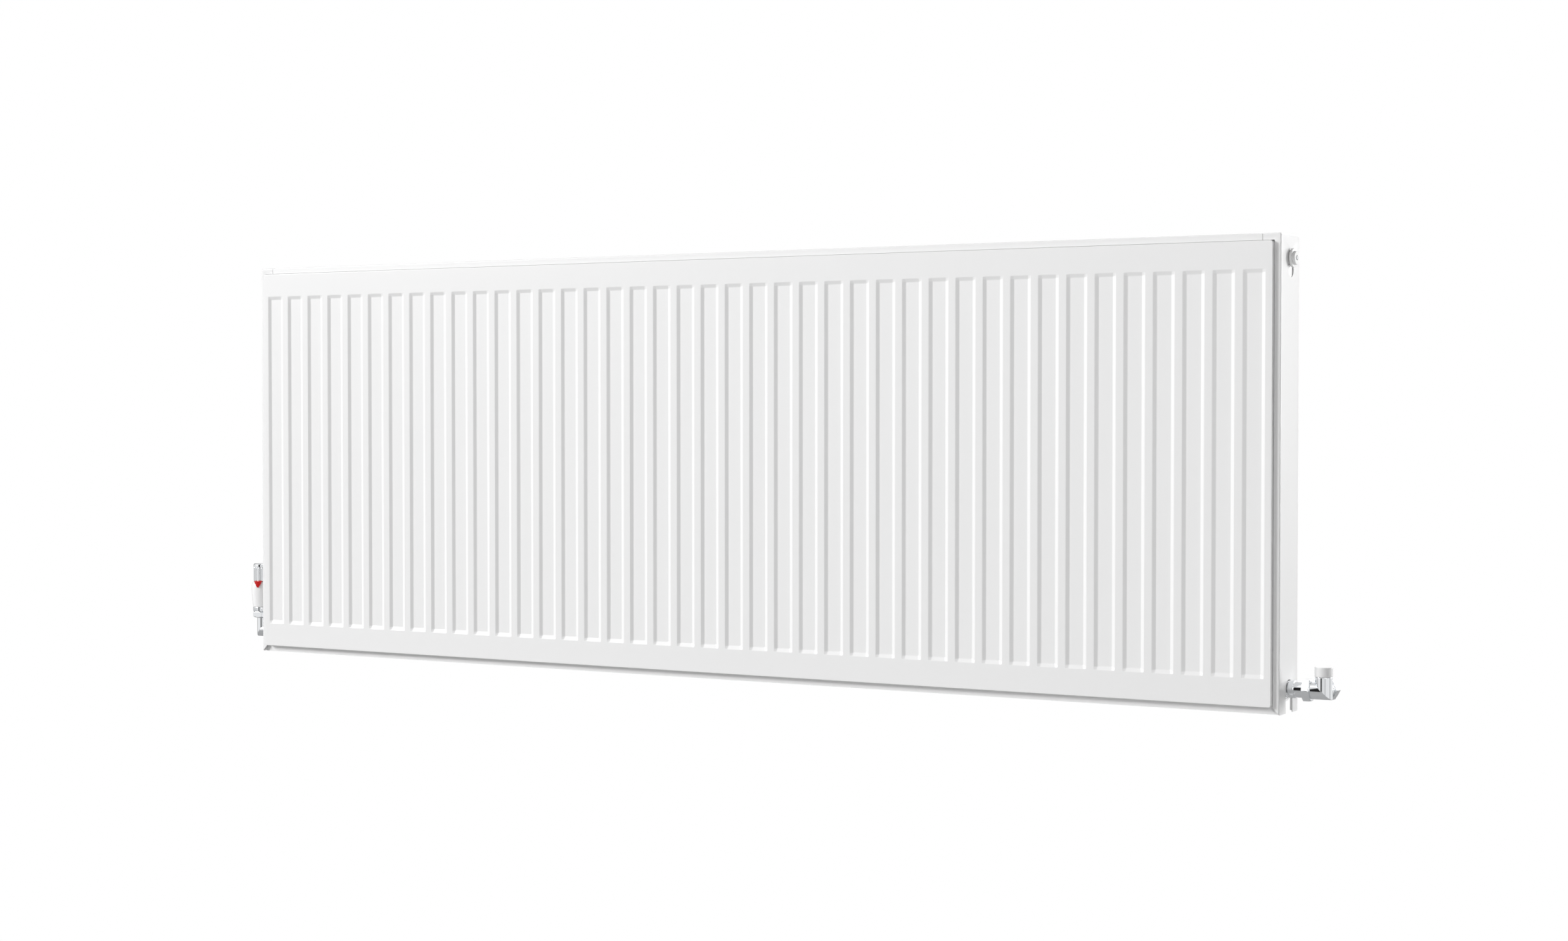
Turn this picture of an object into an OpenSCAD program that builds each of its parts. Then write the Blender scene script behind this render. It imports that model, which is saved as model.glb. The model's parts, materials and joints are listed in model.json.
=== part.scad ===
// Single-panel, single-convector steel radiator with side covers, a top grille, an air vent,
// a corner thermostatic valve on the left and a corner lockshield valve on the right.
// X runs along the length, -Y is the front, +Z is up. Y = 0 is the wall and Z = 0 is mid height.

/* [Overall size] */
// Height over the side covers
rad_height = 500; // [300:10:900]
// Length over the side covers
rad_length = 1400; // [800:10:2600]
// Depth from the panel's face to the back of the side covers
rad_depth = 58; // [54:1:70]
// Space between the wall and the back of the side covers
wall_gap = 30; // [26:1:45]

/* [Panel] */
// Thickness of the pressed panel sheets
panel_sheet = 1.2; // [1:0.1:1.5]
// Width of the rim that is left round the raised face
rim_w = 7.7; // [6:0.1:12]
// How far the raised face stands in front of the welded flange
face_rise = 8; // [6:0.5:10]
// Radius of the raised face's corners
face_corner_r = 3; // [1:0.5:6]
// Distance between neighbouring flutes
flute_pitch = 33.6; // [30:0.1:40]
// Width of a flute at the face
flute_w = 24.6; // [18:0.1:26]
// Depth of a flute
flute_depth = 1.8; // [1.5:0.1:3]
// Width of a flute's sloping wall
flute_slope = 4; // [3:0.1:6]
// Height of the flat bands above and below the flutes
header_h = 29.3; // [26:0.1:50]

/* [Convector] */
// Thickness of the convector sheet
fin_sheet = 0.6; // [0.4:0.1:1]
// Width of the flats welded to the panel and of the crests
fin_flat = 9; // [6:0.5:12]
// Space between the convector's crests and the back of the side covers
fin_back_gap = 8; // [6:0.5:14]
// Space left above and below the convector
fin_end_gap = 50; // [45:1:90]

/* [Covers and grille] */
// Thickness of the cover and grille sheet
cover_sheet = 0.8; // [0.6:0.1:1.2]
// How far the panel's face stands in front of the covers' front lips
lip_setback = 4; // [3:0.5:5]
// Gap between the raised face and the lips round it
lip_gap = 0.5; // [0.4:0.1:2]
// Length of the tabs that close the top corners
corner_tab = 20; // [14:1:40]
// Width of the covers' rear return
rear_return = 8; // [6:0.5:12]
// Depth of the grille's rear lip
grille_rear_lip = 12; // [8:1:20]
// Distance between the grille's slots
grille_pitch = 12; // [9:0.5:16]
// Width of a grille slot
grille_slot_w = 6.5; // [4:0.5:8]
// Solid edge left in front of and behind the grille's slots
grille_edge = 9; // [6:0.5:14]
// Gap between the grille and the covers' tabs, and between covers and panel
cover_fit = 0.4; // [0.3:0.1:0.8]
// How far a side cover lifts on its slots
cover_lift = 12; // [6:1:16]

/* [Tappings] */
// Distance of each tapping from the top or bottom edge
tap_inset = 25; // [23:1:35]
// Distance of the tappings behind the panel's face
tap_depth = 33; // [31:0.5:38]
// Outer radius of the lower tapping bosses
low_boss_r = 13; // [12.5:0.5:13.5]
// Radius of the lower tappings' thread
low_thread_r = 10.5; // [10:0.1:11]
// Outer radius of the upper tapping bosses
top_boss_r = 10; // [9:0.5:11]
// Radius of the upper tappings' thread
top_thread_r = 6.6; // [6:0.1:7]
// Length of a tapping boss
boss_len = 40; // [36:1:50]
// Radius of the waterway between a boss and the panel
waterway_r = 6; // [4:0.5:7]

/* [Vent and plug] */
// Radius of the outer flange
vent_flange_r = 10; // [8:0.5:12]
// Radius of the hub in front of the flange
vent_hub_r = 7.2; // [6:0.1:8]
// Radius of the collar in the side cover's slot
vent_collar_r = 7; // [6.8:0.1:7.2]
// Radius of the bleed screw
bleed_r = 2.5; // [2:0.1:3]

/* [Valves] */
// Distance of the thermostatic valve's axis from the side cover
trv_reach = 23.6; // [23:0.1:60]
// Distance of the lockshield valve's axis from the side cover
ls_reach = 37.6; // [34:0.1:70]
// Radius of the valve bodies
valve_r = 9.2; // [9:0.1:10]
// Radius of the valve tails where they pass the side covers
tail_r = 8.4; // [7.5:0.1:8.6]
// Radius of the pipe socket
pipe_r = 7.55; // [7:0.05:7.8]
// Width across the flats of the union nuts
nut_af = 22.4; // [22:0.1:25]
// Width across the flats of the compression nuts
clamp_nut_af = 20.4; // [20:0.1:25]
// Height of the valve bodies above the tappings' axis
valve_rise = 14.5; // [14:0.5:20]

/* [Thermostatic head] */
// Radius of the white base at its widest
head_r = 16.6; // [15:0.1:20]
// Height of the white base
head_base_h = 33.5; // [30:0.5:45]
// Radius of the chrome handwheel
grip_r = 14; // [13:0.1:18]
// Height of the handwheel
grip_h = 24; // [20:0.5:30]
// Number of ribs on the handwheel
grip_ribs = 18; // [12:1:30]
// Lift of the valve pin over the handwheel's travel
pin_lift = 2.5; // [1.5:0.1:3]

/* [Wall brackets] */
// Distance of each bracket's arm from the nearer end of the radiator
bracket_inset = 162; // [120:1:260]
// Thickness of the brackets and lugs
bracket_t = 2.5; // [2:0.1:4]
// Vertical distance between the upper and lower wall screws
screw_rise = 310; // [160:10:700]
// Sideways distance from a bracket's arm to its wall screw
screw_side = 16; // [14:1:24]
// Radius of the screw holes
screw_r = 3.5; // [2.5:0.1:4.5]
// Half width of a lug
lug_half_w = 15; // [12:0.5:16]
// Wall of the plastic inserts
insert_wall = 1.5; // [1:0.1:2.5]

/* [Hidden] */
half_l = rad_length / 2;
half_h = rad_height / 2;
face_y = -(wall_gap + rad_depth);
rear_y = -wall_gap;
lip_y = face_y + lip_setback;
flange_y = face_y + face_rise;
seam_y = flange_y + panel_sheet;
back_y = seam_y + panel_sheet + face_rise;
face_half_w = half_l - rim_w;
face_half_h = half_h - rim_w;
lip_w = rim_w - lip_gap;
flange_half_w = half_l - cover_sheet - cover_fit;
flange_top = half_h - cover_sheet - cover_fit;
flange_chamfer = 2;

flute_min_edge = 6;
flute_count = floor((2 * (face_half_w - flute_min_edge) - flute_w) / flute_pitch) + 1;
flute_x = [for (i = [0 : flute_count - 1]) (i - (flute_count - 1) / 2) * flute_pitch];
flute_half_h = face_half_h - header_h;
// The back sheet's deep channels reach the front sheet's flute floors, where they are welded
weld_y = face_y + flute_depth + panel_sheet;
channel_w = 22;
channel_slope = 7;
channel_depth = back_y - weld_y - panel_sheet;
channel_half_h = flute_half_h - flute_slope - 3;

// A lug takes the place of the convector wave nearest to bracket_inset
lug_wave = round((bracket_inset - half_l) / flute_pitch + (flute_count - 1) / 2);
lug_x = -flute_x[lug_wave];
crest_y = rear_y - fin_back_gap;
fin_half_h = half_h - fin_end_gap;

tap_z = half_h - tap_inset;
tap_y = face_y + tap_depth;
boss_end_x = half_l - 3;
boss_mid_x = boss_end_x - boss_len * 0.6;
thread_fit = 0.05;
run_fit = 0.05;
slot_r_low = 10;
slot_r_top = 7.4;

plate_y = rear_y - 10 - bracket_t / 2;
lug_h = 30;
lug_sit = 14;
hook_z = [screw_rise / 2 + 15, -screw_rise / 2 + 15];
notch_half = bracket_t / 2 + insert_wall + 0.15;

trv_x = -half_l - trv_reach;
ls_x = half_l + ls_reach;
low_z = -tap_z;
socket_depth = 7;
branch_len = 15;
nut_len = 10.5;
nut_wall = 2.5;
nut_overlap = 5.5;
body_top_z = low_z + valve_rise;
trv_top_z = body_top_z + 1.5;
head_z = low_z + 30;
grip_z = head_z + head_base_h;
pin_r = 1.5;
plunger_bore_r = pin_r + run_fit;
spindle_r = 3.2;
round_fn = 64;

vent_x0 = half_l + 1.2;
vent_x1 = vent_x0 + 2.4;
vent_x2 = vent_x1 + 3;
washer_t = 1.5;
vent_core_r = top_thread_r - 1.2;

water_r = 5;
valve_seat_h = 6;
gland_r = 6.4;
trv_nut_x0 = half_l + 2;
trv_nut_x1 = trv_nut_x0 + 9;
trv_seat_x = trv_nut_x0 + 5;
ls_nut_x0 = half_l + 16.5;
ls_nut_x1 = ls_nut_x0 + 8.5;
ls_seat_x = ls_nut_x0 + 5;

gland_z0 = low_z + 8;
gland_z1 = body_top_z + 8;
gland_wall = 2;
spring_z0 = gland_z0 + gland_wall;
spring_z1 = gland_z1 - gland_wall - pin_lift - 1.5;
spring_r = 2.6;
spring_wire = 0.5;
pin_z1 = head_z + 11;
head_nut_z0 = trv_top_z + 0.3;
head_nut_z1 = head_z - 5.9;
head_inner_r = 11;
base_wall = 2;
grip_ribs_h = grip_h - 5;
grip_gap = 0.3;
grip_inner_r = 10.4;
pointer_turn = 14;

cap_z0 = body_top_z + 0.4;
cap_h = 10.1;
cap_r = 9.4;

// ---- shared shapes ----

// Cylinder along X from x0 to x1
module rod_x(r, x0, x1, y = 0, z = 0) {
    translate([min(x0, x1), y, z]) rotate([0, 90, 0]) cylinder(r = r, h = abs(x1 - x0), $fn = round_fn);
}

// Cylinder along Y from y0 to y1
module rod_y(r, y0, y1, x = 0, z = 0) {
    translate([x, max(y0, y1), z]) rotate([90, 0, 0]) cylinder(r = r, h = abs(y1 - y0), $fn = round_fn);
}

// Cylinder along Z from z0 to z1
module rod_z(r, z0, z1, x = 0, y = 0) {
    translate([x, y, z0]) cylinder(r = r, h = z1 - z0, $fn = round_fn);
}

// Box between two corners
module block(low, high) {
    translate(low) cube(high - low);
}

// Plate in the XZ plane from an outline in X and Z, running from y0 back to y1
module plate_xz(points, y0, y1) {
    translate([0, y1, 0]) rotate([90, 0, 0]) linear_extrude(height = y1 - y0) polygon(points);
}

// Plate in the YZ plane from an outline in Y and Z, running from x0 to x1
module plate_yz(points, x0, x1) {
    translate([x0, 0, 0]) rotate([90, 0, 90]) linear_extrude(height = x1 - x0) polygon(points);
}

// Outline of a rectangle with rounded corners
function round_rect(hw, hh, r, steps = 6) = [
    for (q = [0 : 3])
        for (s = [0 : steps])
            let (a = 90 * q + 90 * s / steps, sx = (q == 0 || q == 3) ? 1 : -1, sz = q < 2 ? 1 : -1)
                [sx * (hw - r) + r * cos(a), sz * (hh - r) + r * sin(a)]
];

// Outline of a gear-like ring: teeth with flat tops between straight flanks
function knurl(r_out, r_in, teeth, top_part) = [
    for (i = [0 : teeth - 1])
        let (a = 360 / teeth, w = a * top_part / 2)
            for (p = [[-a / 2 + 0.15 * a, r_in], [-w, r_out], [w, r_out], [a / 2 - 0.15 * a, r_in]])
                [p[1] * cos(i * a + p[0]), p[1] * sin(i * a + p[0])]
];

// Row of tapered pressings that start at plane y0 and reach depth towards dir, for one sheet
module pressings(y0, dir, w, slope, depth, half_len) {
    intersection() {
        linear_extrude(height = 2 * half_len, center = true)
            for (x = flute_x)
                polygon([
                    [x - w / 2, y0], [x + w / 2, y0],
                    [x + w / 2 - slope, y0 + dir * depth], [x - w / 2 + slope, y0 + dir * depth]
                ]);
        plate_yz([
            [y0, -half_len], [y0, half_len],
            [y0 + dir * depth, half_len - slope], [y0 + dir * depth, -half_len + slope]
        ], -half_l, half_l);
    }
}

// Extra half width that a pressing's back has, for a sheet of thickness t
function skin_step(slope, depth, t) = t * sqrt(slope * slope + depth * depth) / depth;

// The welded flange, with its corners cut off
module flange(y0, y1) {
    c = flange_chamfer;
    w = flange_half_w;
    plate_xz([
        [-w, -half_h + c], [-w + c, -half_h], [w - c, -half_h], [w, -half_h + c],
        [w, flange_top - c], [w - c, flange_top], [-w + c, flange_top], [-w, flange_top - c]
    ], y0, y1);
}

// ---- panel ----

module front_panel() {
    step = skin_step(flute_slope, flute_depth, panel_sheet);
    back_depth = flute_depth + panel_sheet;
    back_slope = flute_slope * back_depth / flute_depth;
    outline = round_rect(face_half_w, face_half_h, face_corner_r);
    inner = round_rect(face_half_w - panel_sheet, face_half_h - panel_sheet, face_corner_r);
    color("white")
        difference() {
            union() {
                difference() {
                    union() {
                        plate_xz(outline, face_y, seam_y);
                        flange(flange_y, seam_y);
                    }
                    plate_xz(inner, face_y + panel_sheet, seam_y + 1);
                }
                intersection() {
                    pressings(face_y, 1, flute_w + 2 * step, back_slope, back_depth, flute_half_h + step);
                    plate_xz(outline, face_y, seam_y);
                }
            }
            pressings(face_y, 1, flute_w, flute_slope, flute_depth, flute_half_h);
        }
}

module back_panel() {
    step = skin_step(channel_slope, channel_depth, panel_sheet);
    back_depth = channel_depth + panel_sheet;
    back_slope = channel_slope * back_depth / channel_depth;
    outline = round_rect(face_half_w, face_half_h, face_corner_r);
    inner = round_rect(face_half_w - panel_sheet, face_half_h - panel_sheet, face_corner_r);
    color("white")
        difference() {
            union() {
                difference() {
                    union() {
                        plate_xz(outline, seam_y, back_y);
                        flange(seam_y, seam_y + panel_sheet);
                    }
                    plate_xz(inner, seam_y - 1, back_y - panel_sheet);
                }
                pressings(back_y, -1, channel_w + 2 * step, back_slope, back_depth, channel_half_h + step);
            }
            pressings(back_y, -1, channel_w, channel_slope, channel_depth, channel_half_h);
            for (sx = [-1, 1])
                for (sz = [-1, 1])
                    rod_y(waterway_r, back_y - panel_sheet - 1, back_y + 1, sx * boss_mid_x, sz * tap_z);
        }
}

// One run of the convector's wave, from wave i0 to wave i1
module fin_run(i0, i1) {
    half_pitch = flute_pitch / 2;
    foot = half_pitch - fin_flat / 2;
    crest = fin_flat / 2;
    k = fin_sheet / 2;
    outer = [for (i = [i0 : i1]) each [
        [flute_x[i] - foot - k, back_y + fin_sheet], [flute_x[i] - crest - k, crest_y],
        [flute_x[i] + crest + k, crest_y], [flute_x[i] + foot + k, back_y + fin_sheet]
    ]];
    inner = [for (i = [i1 : -1 : i0]) each [
        [flute_x[i] + foot - k, back_y], [flute_x[i] + crest - k, crest_y - fin_sheet],
        [flute_x[i] - crest + k, crest_y - fin_sheet], [flute_x[i] - foot + k, back_y]
    ]];
    x0 = flute_x[i0] - half_pitch;
    x1 = flute_x[i1] + half_pitch;
    linear_extrude(height = 2 * fin_half_h, center = true)
        polygon(concat(
            [[x0, back_y], [x0, back_y + fin_sheet]], outer,
            [[x1, back_y + fin_sheet], [x1, back_y]], inner
        ));
}

module convector_fins() {
    last = flute_count - 1;
    color("whitesmoke") {
        fin_run(0, lug_wave - 1);
        fin_run(lug_wave + 1, last - lug_wave - 1);
        fin_run(last - lug_wave + 1, last);
    }
}

// Pair of bosses at one height: a blind threaded tube along X and a neck to the panel
module tapping_bosses(z, boss_r, thread_r) {
    neck_r = waterway_r + 3;
    color("white")
        for (s = [-1, 1])
            difference() {
                union() {
                    rod_x(boss_r, s * (boss_end_x - boss_len), s * boss_end_x, tap_y, z);
                    rod_y(neck_r, back_y, tap_y, s * boss_mid_x, z);
                }
                rod_x(thread_r, s * (boss_end_x - boss_len + 4), s * (boss_end_x + 1), tap_y, z);
                rod_y(waterway_r, back_y - 1, tap_y, s * boss_mid_x, z);
            }
}

// ---- lugs and brackets ----

// Hat-shaped lug: two legs welded to the panel and a plate that drops into the bracket's hook
module lug(x, z) {
    w = lug_half_w;
    z1 = z + lug_h;
    translate([x, 0, 0]) {
        block([-w, plate_y - bracket_t / 2, z], [w, plate_y + bracket_t / 2, z1]);
        block([-w, back_y, z], [-w + bracket_t, plate_y - bracket_t / 2, z1]);
        block([w - bracket_t, back_y, z], [w, plate_y - bracket_t / 2, z1]);
    }
}

module hanger_lugs() {
    color("white")
        for (s = [-1, 1])
            for (z = hook_z)
                lug(s * lug_x, z + insert_wall);
}

// Pressed bracket: a wall leg with its screw hole and an arm with an open notch at its tip
module wall_bracket(s, z) {
    half_t = bracket_t / 2;
    tip = plate_y - notch_half - 6;
    top = z + lug_sit;
    x0 = s * lug_x;
    leg = screw_side + screw_r + 9;
    screw_z = z - 15;
    color("gainsboro") {
        difference() {
            union() {
                plate_yz([
                    [0, z - 46], [0, top], [plate_y + notch_half, top], [plate_y + notch_half, z],
                    [plate_y - notch_half, z], [plate_y - notch_half, top - 1], [tip + 2, top - 1],
                    [tip, top - 4], [tip, z - 10], [-bracket_t - 8, z - 46]
                ], x0 - half_t, x0 + half_t);
                block([min(x0, x0 - s * leg), -bracket_t, z - 46], [max(x0, x0 - s * leg), 0, top]);
            }
            rod_y(screw_r, -bracket_t - 1, 1, x0 - s * screw_side, screw_z);
        }
    }
}

module upper_wall_brackets() {
    wall_bracket(-1, hook_z[0]);
    wall_bracket(1, hook_z[0]);
}

module lower_wall_brackets() {
    wall_bracket(-1, hook_z[1]);
    wall_bracket(1, hook_z[1]);
}

// U-shaped plastic linings that stop the steel lugs from rattling in the hooks
module bracket_inserts() {
    inner = bracket_t / 2 + 0.1;
    outer = notch_half - 0.05;
    half_w = 6;
    color("dimgray")
        for (s = [-1, 1])
            for (z = hook_z)
                plate_yz([
                    [plate_y - outer, z], [plate_y + outer, z], [plate_y + outer, z + lug_sit],
                    [plate_y + inner, z + lug_sit], [plate_y + inner, z + insert_wall],
                    [plate_y - inner, z + insert_wall], [plate_y - inner, z + lug_sit - 1],
                    [plate_y - outer, z + lug_sit - 1]
                ], s * lug_x - half_w, s * lug_x + half_w);
}

// ---- covers and grille ----

// Side cover of the end on side s: plate, front lip with a mitred foot, top tab and rear return
module side_cover(s) {
    x_in = half_l - cover_sheet;
    lip_x = half_l - lip_w;
    tab_x = half_l - corner_tab;
    z_top = half_h;
    lip_z = half_h - lip_w;
    low_slot_z = -tap_z;
    color("white")
        mirror([s < 0 ? 1 : 0, 0, 0])
            difference() {
                union() {
                    block([x_in, lip_y, -half_h], [half_l, rear_y, z_top]);
                    plate_xz([
                        [half_l, -half_h], [half_l, z_top], [tab_x, z_top], [tab_x, lip_z],
                        [lip_x, lip_z], [lip_x, -half_h + lip_w]
                    ], lip_y, lip_y + cover_sheet);
                    block([tab_x, lip_y, z_top - cover_sheet], [half_l, rear_y, z_top]);
                    block([half_l - rear_return, rear_y - cover_sheet, -half_h], [half_l, rear_y, z_top]);
                }
                slot_cut(slot_r_low, low_slot_z, -half_h - slot_r_low - 1);
                slot_cut(slot_r_top, tap_z + 2.6, tap_z - cover_lift - 0.6);
            }
}

// Slot through the cover's side plate, with round ends at z1 and z0
module slot_cut(r, z1, z0) {
    x0 = half_l - cover_sheet - 1;
    x1 = half_l + 1;
    rod_x(r, x0, x1, tap_y, z1);
    rod_x(r, x0, x1, tap_y, z0);
    block([x0, tap_y - r, z0], [x1, tap_y + r, z1]);
}

module side_cover_left() {
    side_cover(-1);
}

module side_cover_right() {
    side_cover(1);
}

module top_grille() {
    half_w = half_l - corner_tab - cover_fit;
    slot_y0 = lip_y + grille_edge;
    slot_y1 = rear_y - grille_edge;
    slot_r = grille_slot_w / 2;
    slots = floor((2 * half_w - 2 * grille_edge) / grille_pitch);
    color("white") {
        translate([0, 0, half_h - cover_sheet])
            linear_extrude(height = cover_sheet)
                difference() {
                    translate([-half_w, lip_y]) square([2 * half_w, rear_y - lip_y]);
                    for (i = [0 : slots - 1])
                        translate([(i - (slots - 1) / 2) * grille_pitch, 0])
                            slot_outline(slot_r, slot_y0 + slot_r, slot_y1 - slot_r);
                }
        block([-half_w, lip_y, half_h - lip_w], [half_w, lip_y + cover_sheet, half_h - cover_sheet]);
        block([-half_w, rear_y - cover_sheet, half_h - grille_rear_lip], [half_w, rear_y, half_h - cover_sheet]);
    }
}

// Outline of a slot along Y with half-round ends
module slot_outline(r, y0, y1) {
    steps = 8;
    polygon(concat(
        [for (i = [0 : steps]) [r * cos(180 * i / steps), y1 + r * sin(180 * i / steps)]],
        [for (i = [0 : steps]) [-r * cos(180 * i / steps), y0 - r * sin(180 * i / steps)]]
    ));
}

// ---- vent and plug ----

// Threaded body, collar, flange and hub on the +X or -X side
module vent_blank(s) {
    rod_x(top_thread_r - thread_fit, s * (boss_end_x - 18), s * boss_end_x, tap_y, tap_z);
    rod_x(vent_collar_r, s * (boss_end_x + washer_t), s * vent_x0, tap_y, tap_z);
    rod_x(vent_core_r, s * boss_end_x, s * (boss_end_x + washer_t), tap_y, tap_z);
    rod_x(vent_flange_r, s * vent_x0, s * vent_x1, tap_y, tap_z);
    rod_x(vent_hub_r, s * vent_x1, s * vent_x2, tap_y, tap_z);
}

module air_vent() {
    color("white")
        difference() {
            vent_blank(1);
            rod_x(bleed_r + run_fit, boss_end_x - 10, vent_x2 + 1, tap_y, tap_z);
            rod_x(1.2, boss_end_x - 19, vent_x2, tap_y, tap_z);
        }
}

// Cone-pointed screw with the square key head of a radiator bleed screw
module bleed_screw() {
    side = 3.4;
    color("gold") {
        rod_x(bleed_r, boss_end_x - 9.5, vent_x2 - 2.4, tap_y, tap_z);
        block([vent_x2 - 2.4, tap_y - side / 2, tap_z - side / 2], [vent_x2 + 0.6, tap_y + side / 2, tap_z + side / 2]);
    }
}

module blanking_plug() {
    color("white")
        difference() {
            vent_blank(-1);
            translate([-vent_x2 - 1, tap_y, tap_z]) rotate([0, 90, 0]) cylinder(r = 3.5, h = 5, $fn = 6);
        }
}

module plug_washers() {
    color("dimgray")
        for (s = [-1, 1])
            difference() {
                rod_x(vent_collar_r, s * boss_end_x, s * (boss_end_x + washer_t), tap_y, tap_z);
                rod_x(vent_core_r, s * (boss_end_x - 1), s * (boss_end_x + washer_t + 1), tap_y, tap_z);
            }
}

// ---- valves, shared pieces ----

// Hexagon nut along X or Y, with chamfered corners
module hex_nut(len, af, bore_r) {
    r = af / 2 / cos(30);
    difference() {
        intersection() {
            cylinder(r = r, h = len, $fn = 6);
            rotate_extrude($fn = round_fn)
                polygon([[0, 0], [af / 2 + 0.2, 0], [r, 1], [r, len - 1], [af / 2 + 0.2, len], [0, len]]);
        }
        translate([0, 0, -1]) cylinder(r = bore_r, h = len + 2, $fn = round_fn);
    }
}

// Tail: thread in the boss, shank through the cover's slot, flange inside the union nut
module valve_tail(s, seat_x) {
    color("lightgray")
        difference() {
            union() {
                rod_x(low_thread_r - thread_fit, s * (boss_end_x - 16), s * boss_end_x, tap_y, low_z);
                rod_x(tail_r, s * boss_end_x, s * seat_x, tap_y, low_z);
            }
            rod_x(water_r, s * (boss_end_x - 17), s * (seat_x + 1), tap_y, low_z);
        }
}

// Mitred elbow: the horizontal and the upright barrel meet on a 45 degree plane
module mitred_elbow(s, x_axis, x_start, z_top) {
    d = valve_r;
    corner_x = x_axis + s * d;
    corner_z = low_z - d;
    reach = 60;
    intersection() {
        rod_x(d, x_start, corner_x, tap_y, low_z);
        mitre_half(s, corner_x, corner_z, reach, true);
    }
    intersection() {
        rod_z(d, corner_z, z_top, x_axis, tap_y);
        mitre_half(s, corner_x, corner_z, reach, false);
    }
}

// Half space on one side of the mitre plane, as a prism across the valve
module mitre_half(s, cx, cz, reach, lower) {
    far = lower ? [cx - s * reach, cz] : [cx, cz + reach];
    plate_xz([[cx, cz], far, [cx - s * reach, cz + reach]], tap_y - valve_r - 1, tap_y + valve_r + 1);
}

// Valve body with its tail barrel, upright barrel and the branch towards the wall
module valve_body(s, x_axis, seat_x, top_z) {
    branch_y1 = tap_y + branch_len;
    color("silver")
        difference() {
            union() {
                mitred_elbow(s, x_axis, s * seat_x, top_z);
                rod_y(valve_r, tap_y, branch_y1, x_axis, low_z);
            }
            rod_x(water_r, s * (seat_x - 1), x_axis, tap_y, low_z);
            rod_y(water_r, tap_y, branch_y1, x_axis, low_z);
            rod_y(pipe_r, branch_y1 - socket_depth, branch_y1 + 1, x_axis, low_z);
            rod_z(water_r, low_z, low_z + valve_seat_h, x_axis, tap_y);
            rod_z(gland_r + thread_fit, low_z + valve_seat_h, top_z + 1, x_axis, tap_y);
        }
}

// Compression nut that closes on the olive, open towards the wall for the pipe
module compression_nut(x_axis) {
    y0 = tap_y + branch_len - nut_overlap;
    seat = y0 + nut_len - nut_wall;
    color("silver")
        difference() {
            translate([x_axis, y0, low_z]) rotate([-90, 0, 0]) hex_nut(nut_len, clamp_nut_af, pipe_r);
            rod_y(valve_r + thread_fit, y0 - 1, seat, x_axis, low_z);
        }
}

module olive(x_axis) {
    len = nut_len - nut_wall - nut_overlap;
    color("goldenrod")
        translate([x_axis, tap_y + branch_len, low_z]) rotate([-90, 0, 0])
            rotate_extrude($fn = round_fn)
                polygon([
                    [pipe_r, 0], [pipe_r + 0.6, 0], [valve_r - 0.2, len / 2],
                    [pipe_r + 0.6, len], [pipe_r, len]
                ]);
}

// ---- thermostatic valve ----

module trv_tail() {
    valve_tail(-1, trv_seat_x);
}

module trv_union_nut() {
    color("silver")
        difference() {
            translate([-trv_nut_x0, tap_y, low_z]) rotate([0, -90, 0]) rotate([0, 0, 30])
                hex_nut(trv_nut_x1 - trv_nut_x0, nut_af, tail_r + thread_fit);
            rod_x(valve_r + thread_fit, -trv_seat_x, -trv_nut_x1 - 1, tap_y, low_z);
        }
}

module trv_body() {
    valve_body(-1, trv_x, trv_seat_x, trv_top_z);
}

// Gland: screws into the body, holds the spring and guides the pin
module trv_gland() {
    color("goldenrod")
        difference() {
            rod_z(gland_r, gland_z0, gland_z1, trv_x, tap_y);
            rod_z(plunger_bore_r, gland_z0 - 1, gland_z1 + 1, trv_x, tap_y);
            rod_z(4, gland_z0 + gland_wall, gland_z1 - gland_wall, trv_x, tap_y);
        }
}

module trv_pin() {
    color("gainsboro") {
        rod_z(pin_r, low_z + 4, pin_z1, trv_x, tap_y);
        rod_z(3.6, spring_z1 + 0.3, spring_z1 + 0.9, trv_x, tap_y);
    }
}

module trv_valve_washer() {
    color("black")
        rod_z(4, low_z + 1.5, low_z + 4, trv_x, tap_y);
}

// Point of a helix of radius r, turning with t from 0 to 1
function coil_point(t, turns, z0, z1, r) = [r * cos(360 * turns * t), r * sin(360 * turns * t), z0 + (z1 - z0) * t];

// Ring of wire points round a helix point
function wire_ring(t, turns, z0, z1, r, w, sides) = [
    for (k = [0 : sides - 1])
        let (a = 360 * turns * t, b = 360 * k / sides, p = coil_point(t, turns, z0, z1, r))
            [p[0] + w * cos(b) * cos(a), p[1] + w * cos(b) * sin(a), p[2] + w * sin(b)]
];

module trv_spring() {
    sides = 6;
    turns = 5;
    rings = 60;
    z0 = spring_z0 + spring_wire;
    z1 = spring_z1 - spring_wire;
    points = [for (i = [0 : rings]) each wire_ring(i / rings, turns, z0, z1, spring_r, spring_wire, sides)];
    side_faces = [
        for (i = [0 : rings - 1])
            for (k = [0 : sides - 1])
                [i * sides + k, i * sides + (k + 1) % sides, (i + 1) * sides + (k + 1) % sides, (i + 1) * sides + k]
    ];
    first_cap = [[for (k = [sides - 1 : -1 : 0]) k]];
    last_cap = [[for (k = [0 : sides - 1]) rings * sides + k]];
    color("gray")
        translate([trv_x, tap_y, 0])
            polyhedron(points = points, faces = concat(side_faces, first_cap, last_cap), convexity = 10);
}

module trv_compression_nut() {
    compression_nut(trv_x);
}

module trv_olive() {
    olive(trv_x);
}

module trv_head_nut() {
    color("silver")
        translate([trv_x, tap_y, head_nut_z0]) hex_nut(head_nut_z1 - head_nut_z0, nut_af + 4, gland_r + thread_fit);
}

module trv_head_collar() {
    color("silver")
        translate([trv_x, tap_y, head_nut_z1])
            linear_extrude(height = head_z - head_nut_z1)
                difference() {
                    polygon(knurl(14.8, 13.9, 30, 0.45));
                    circle(r = gland_r + 0.6, $fn = round_fn);
                }
}

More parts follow.
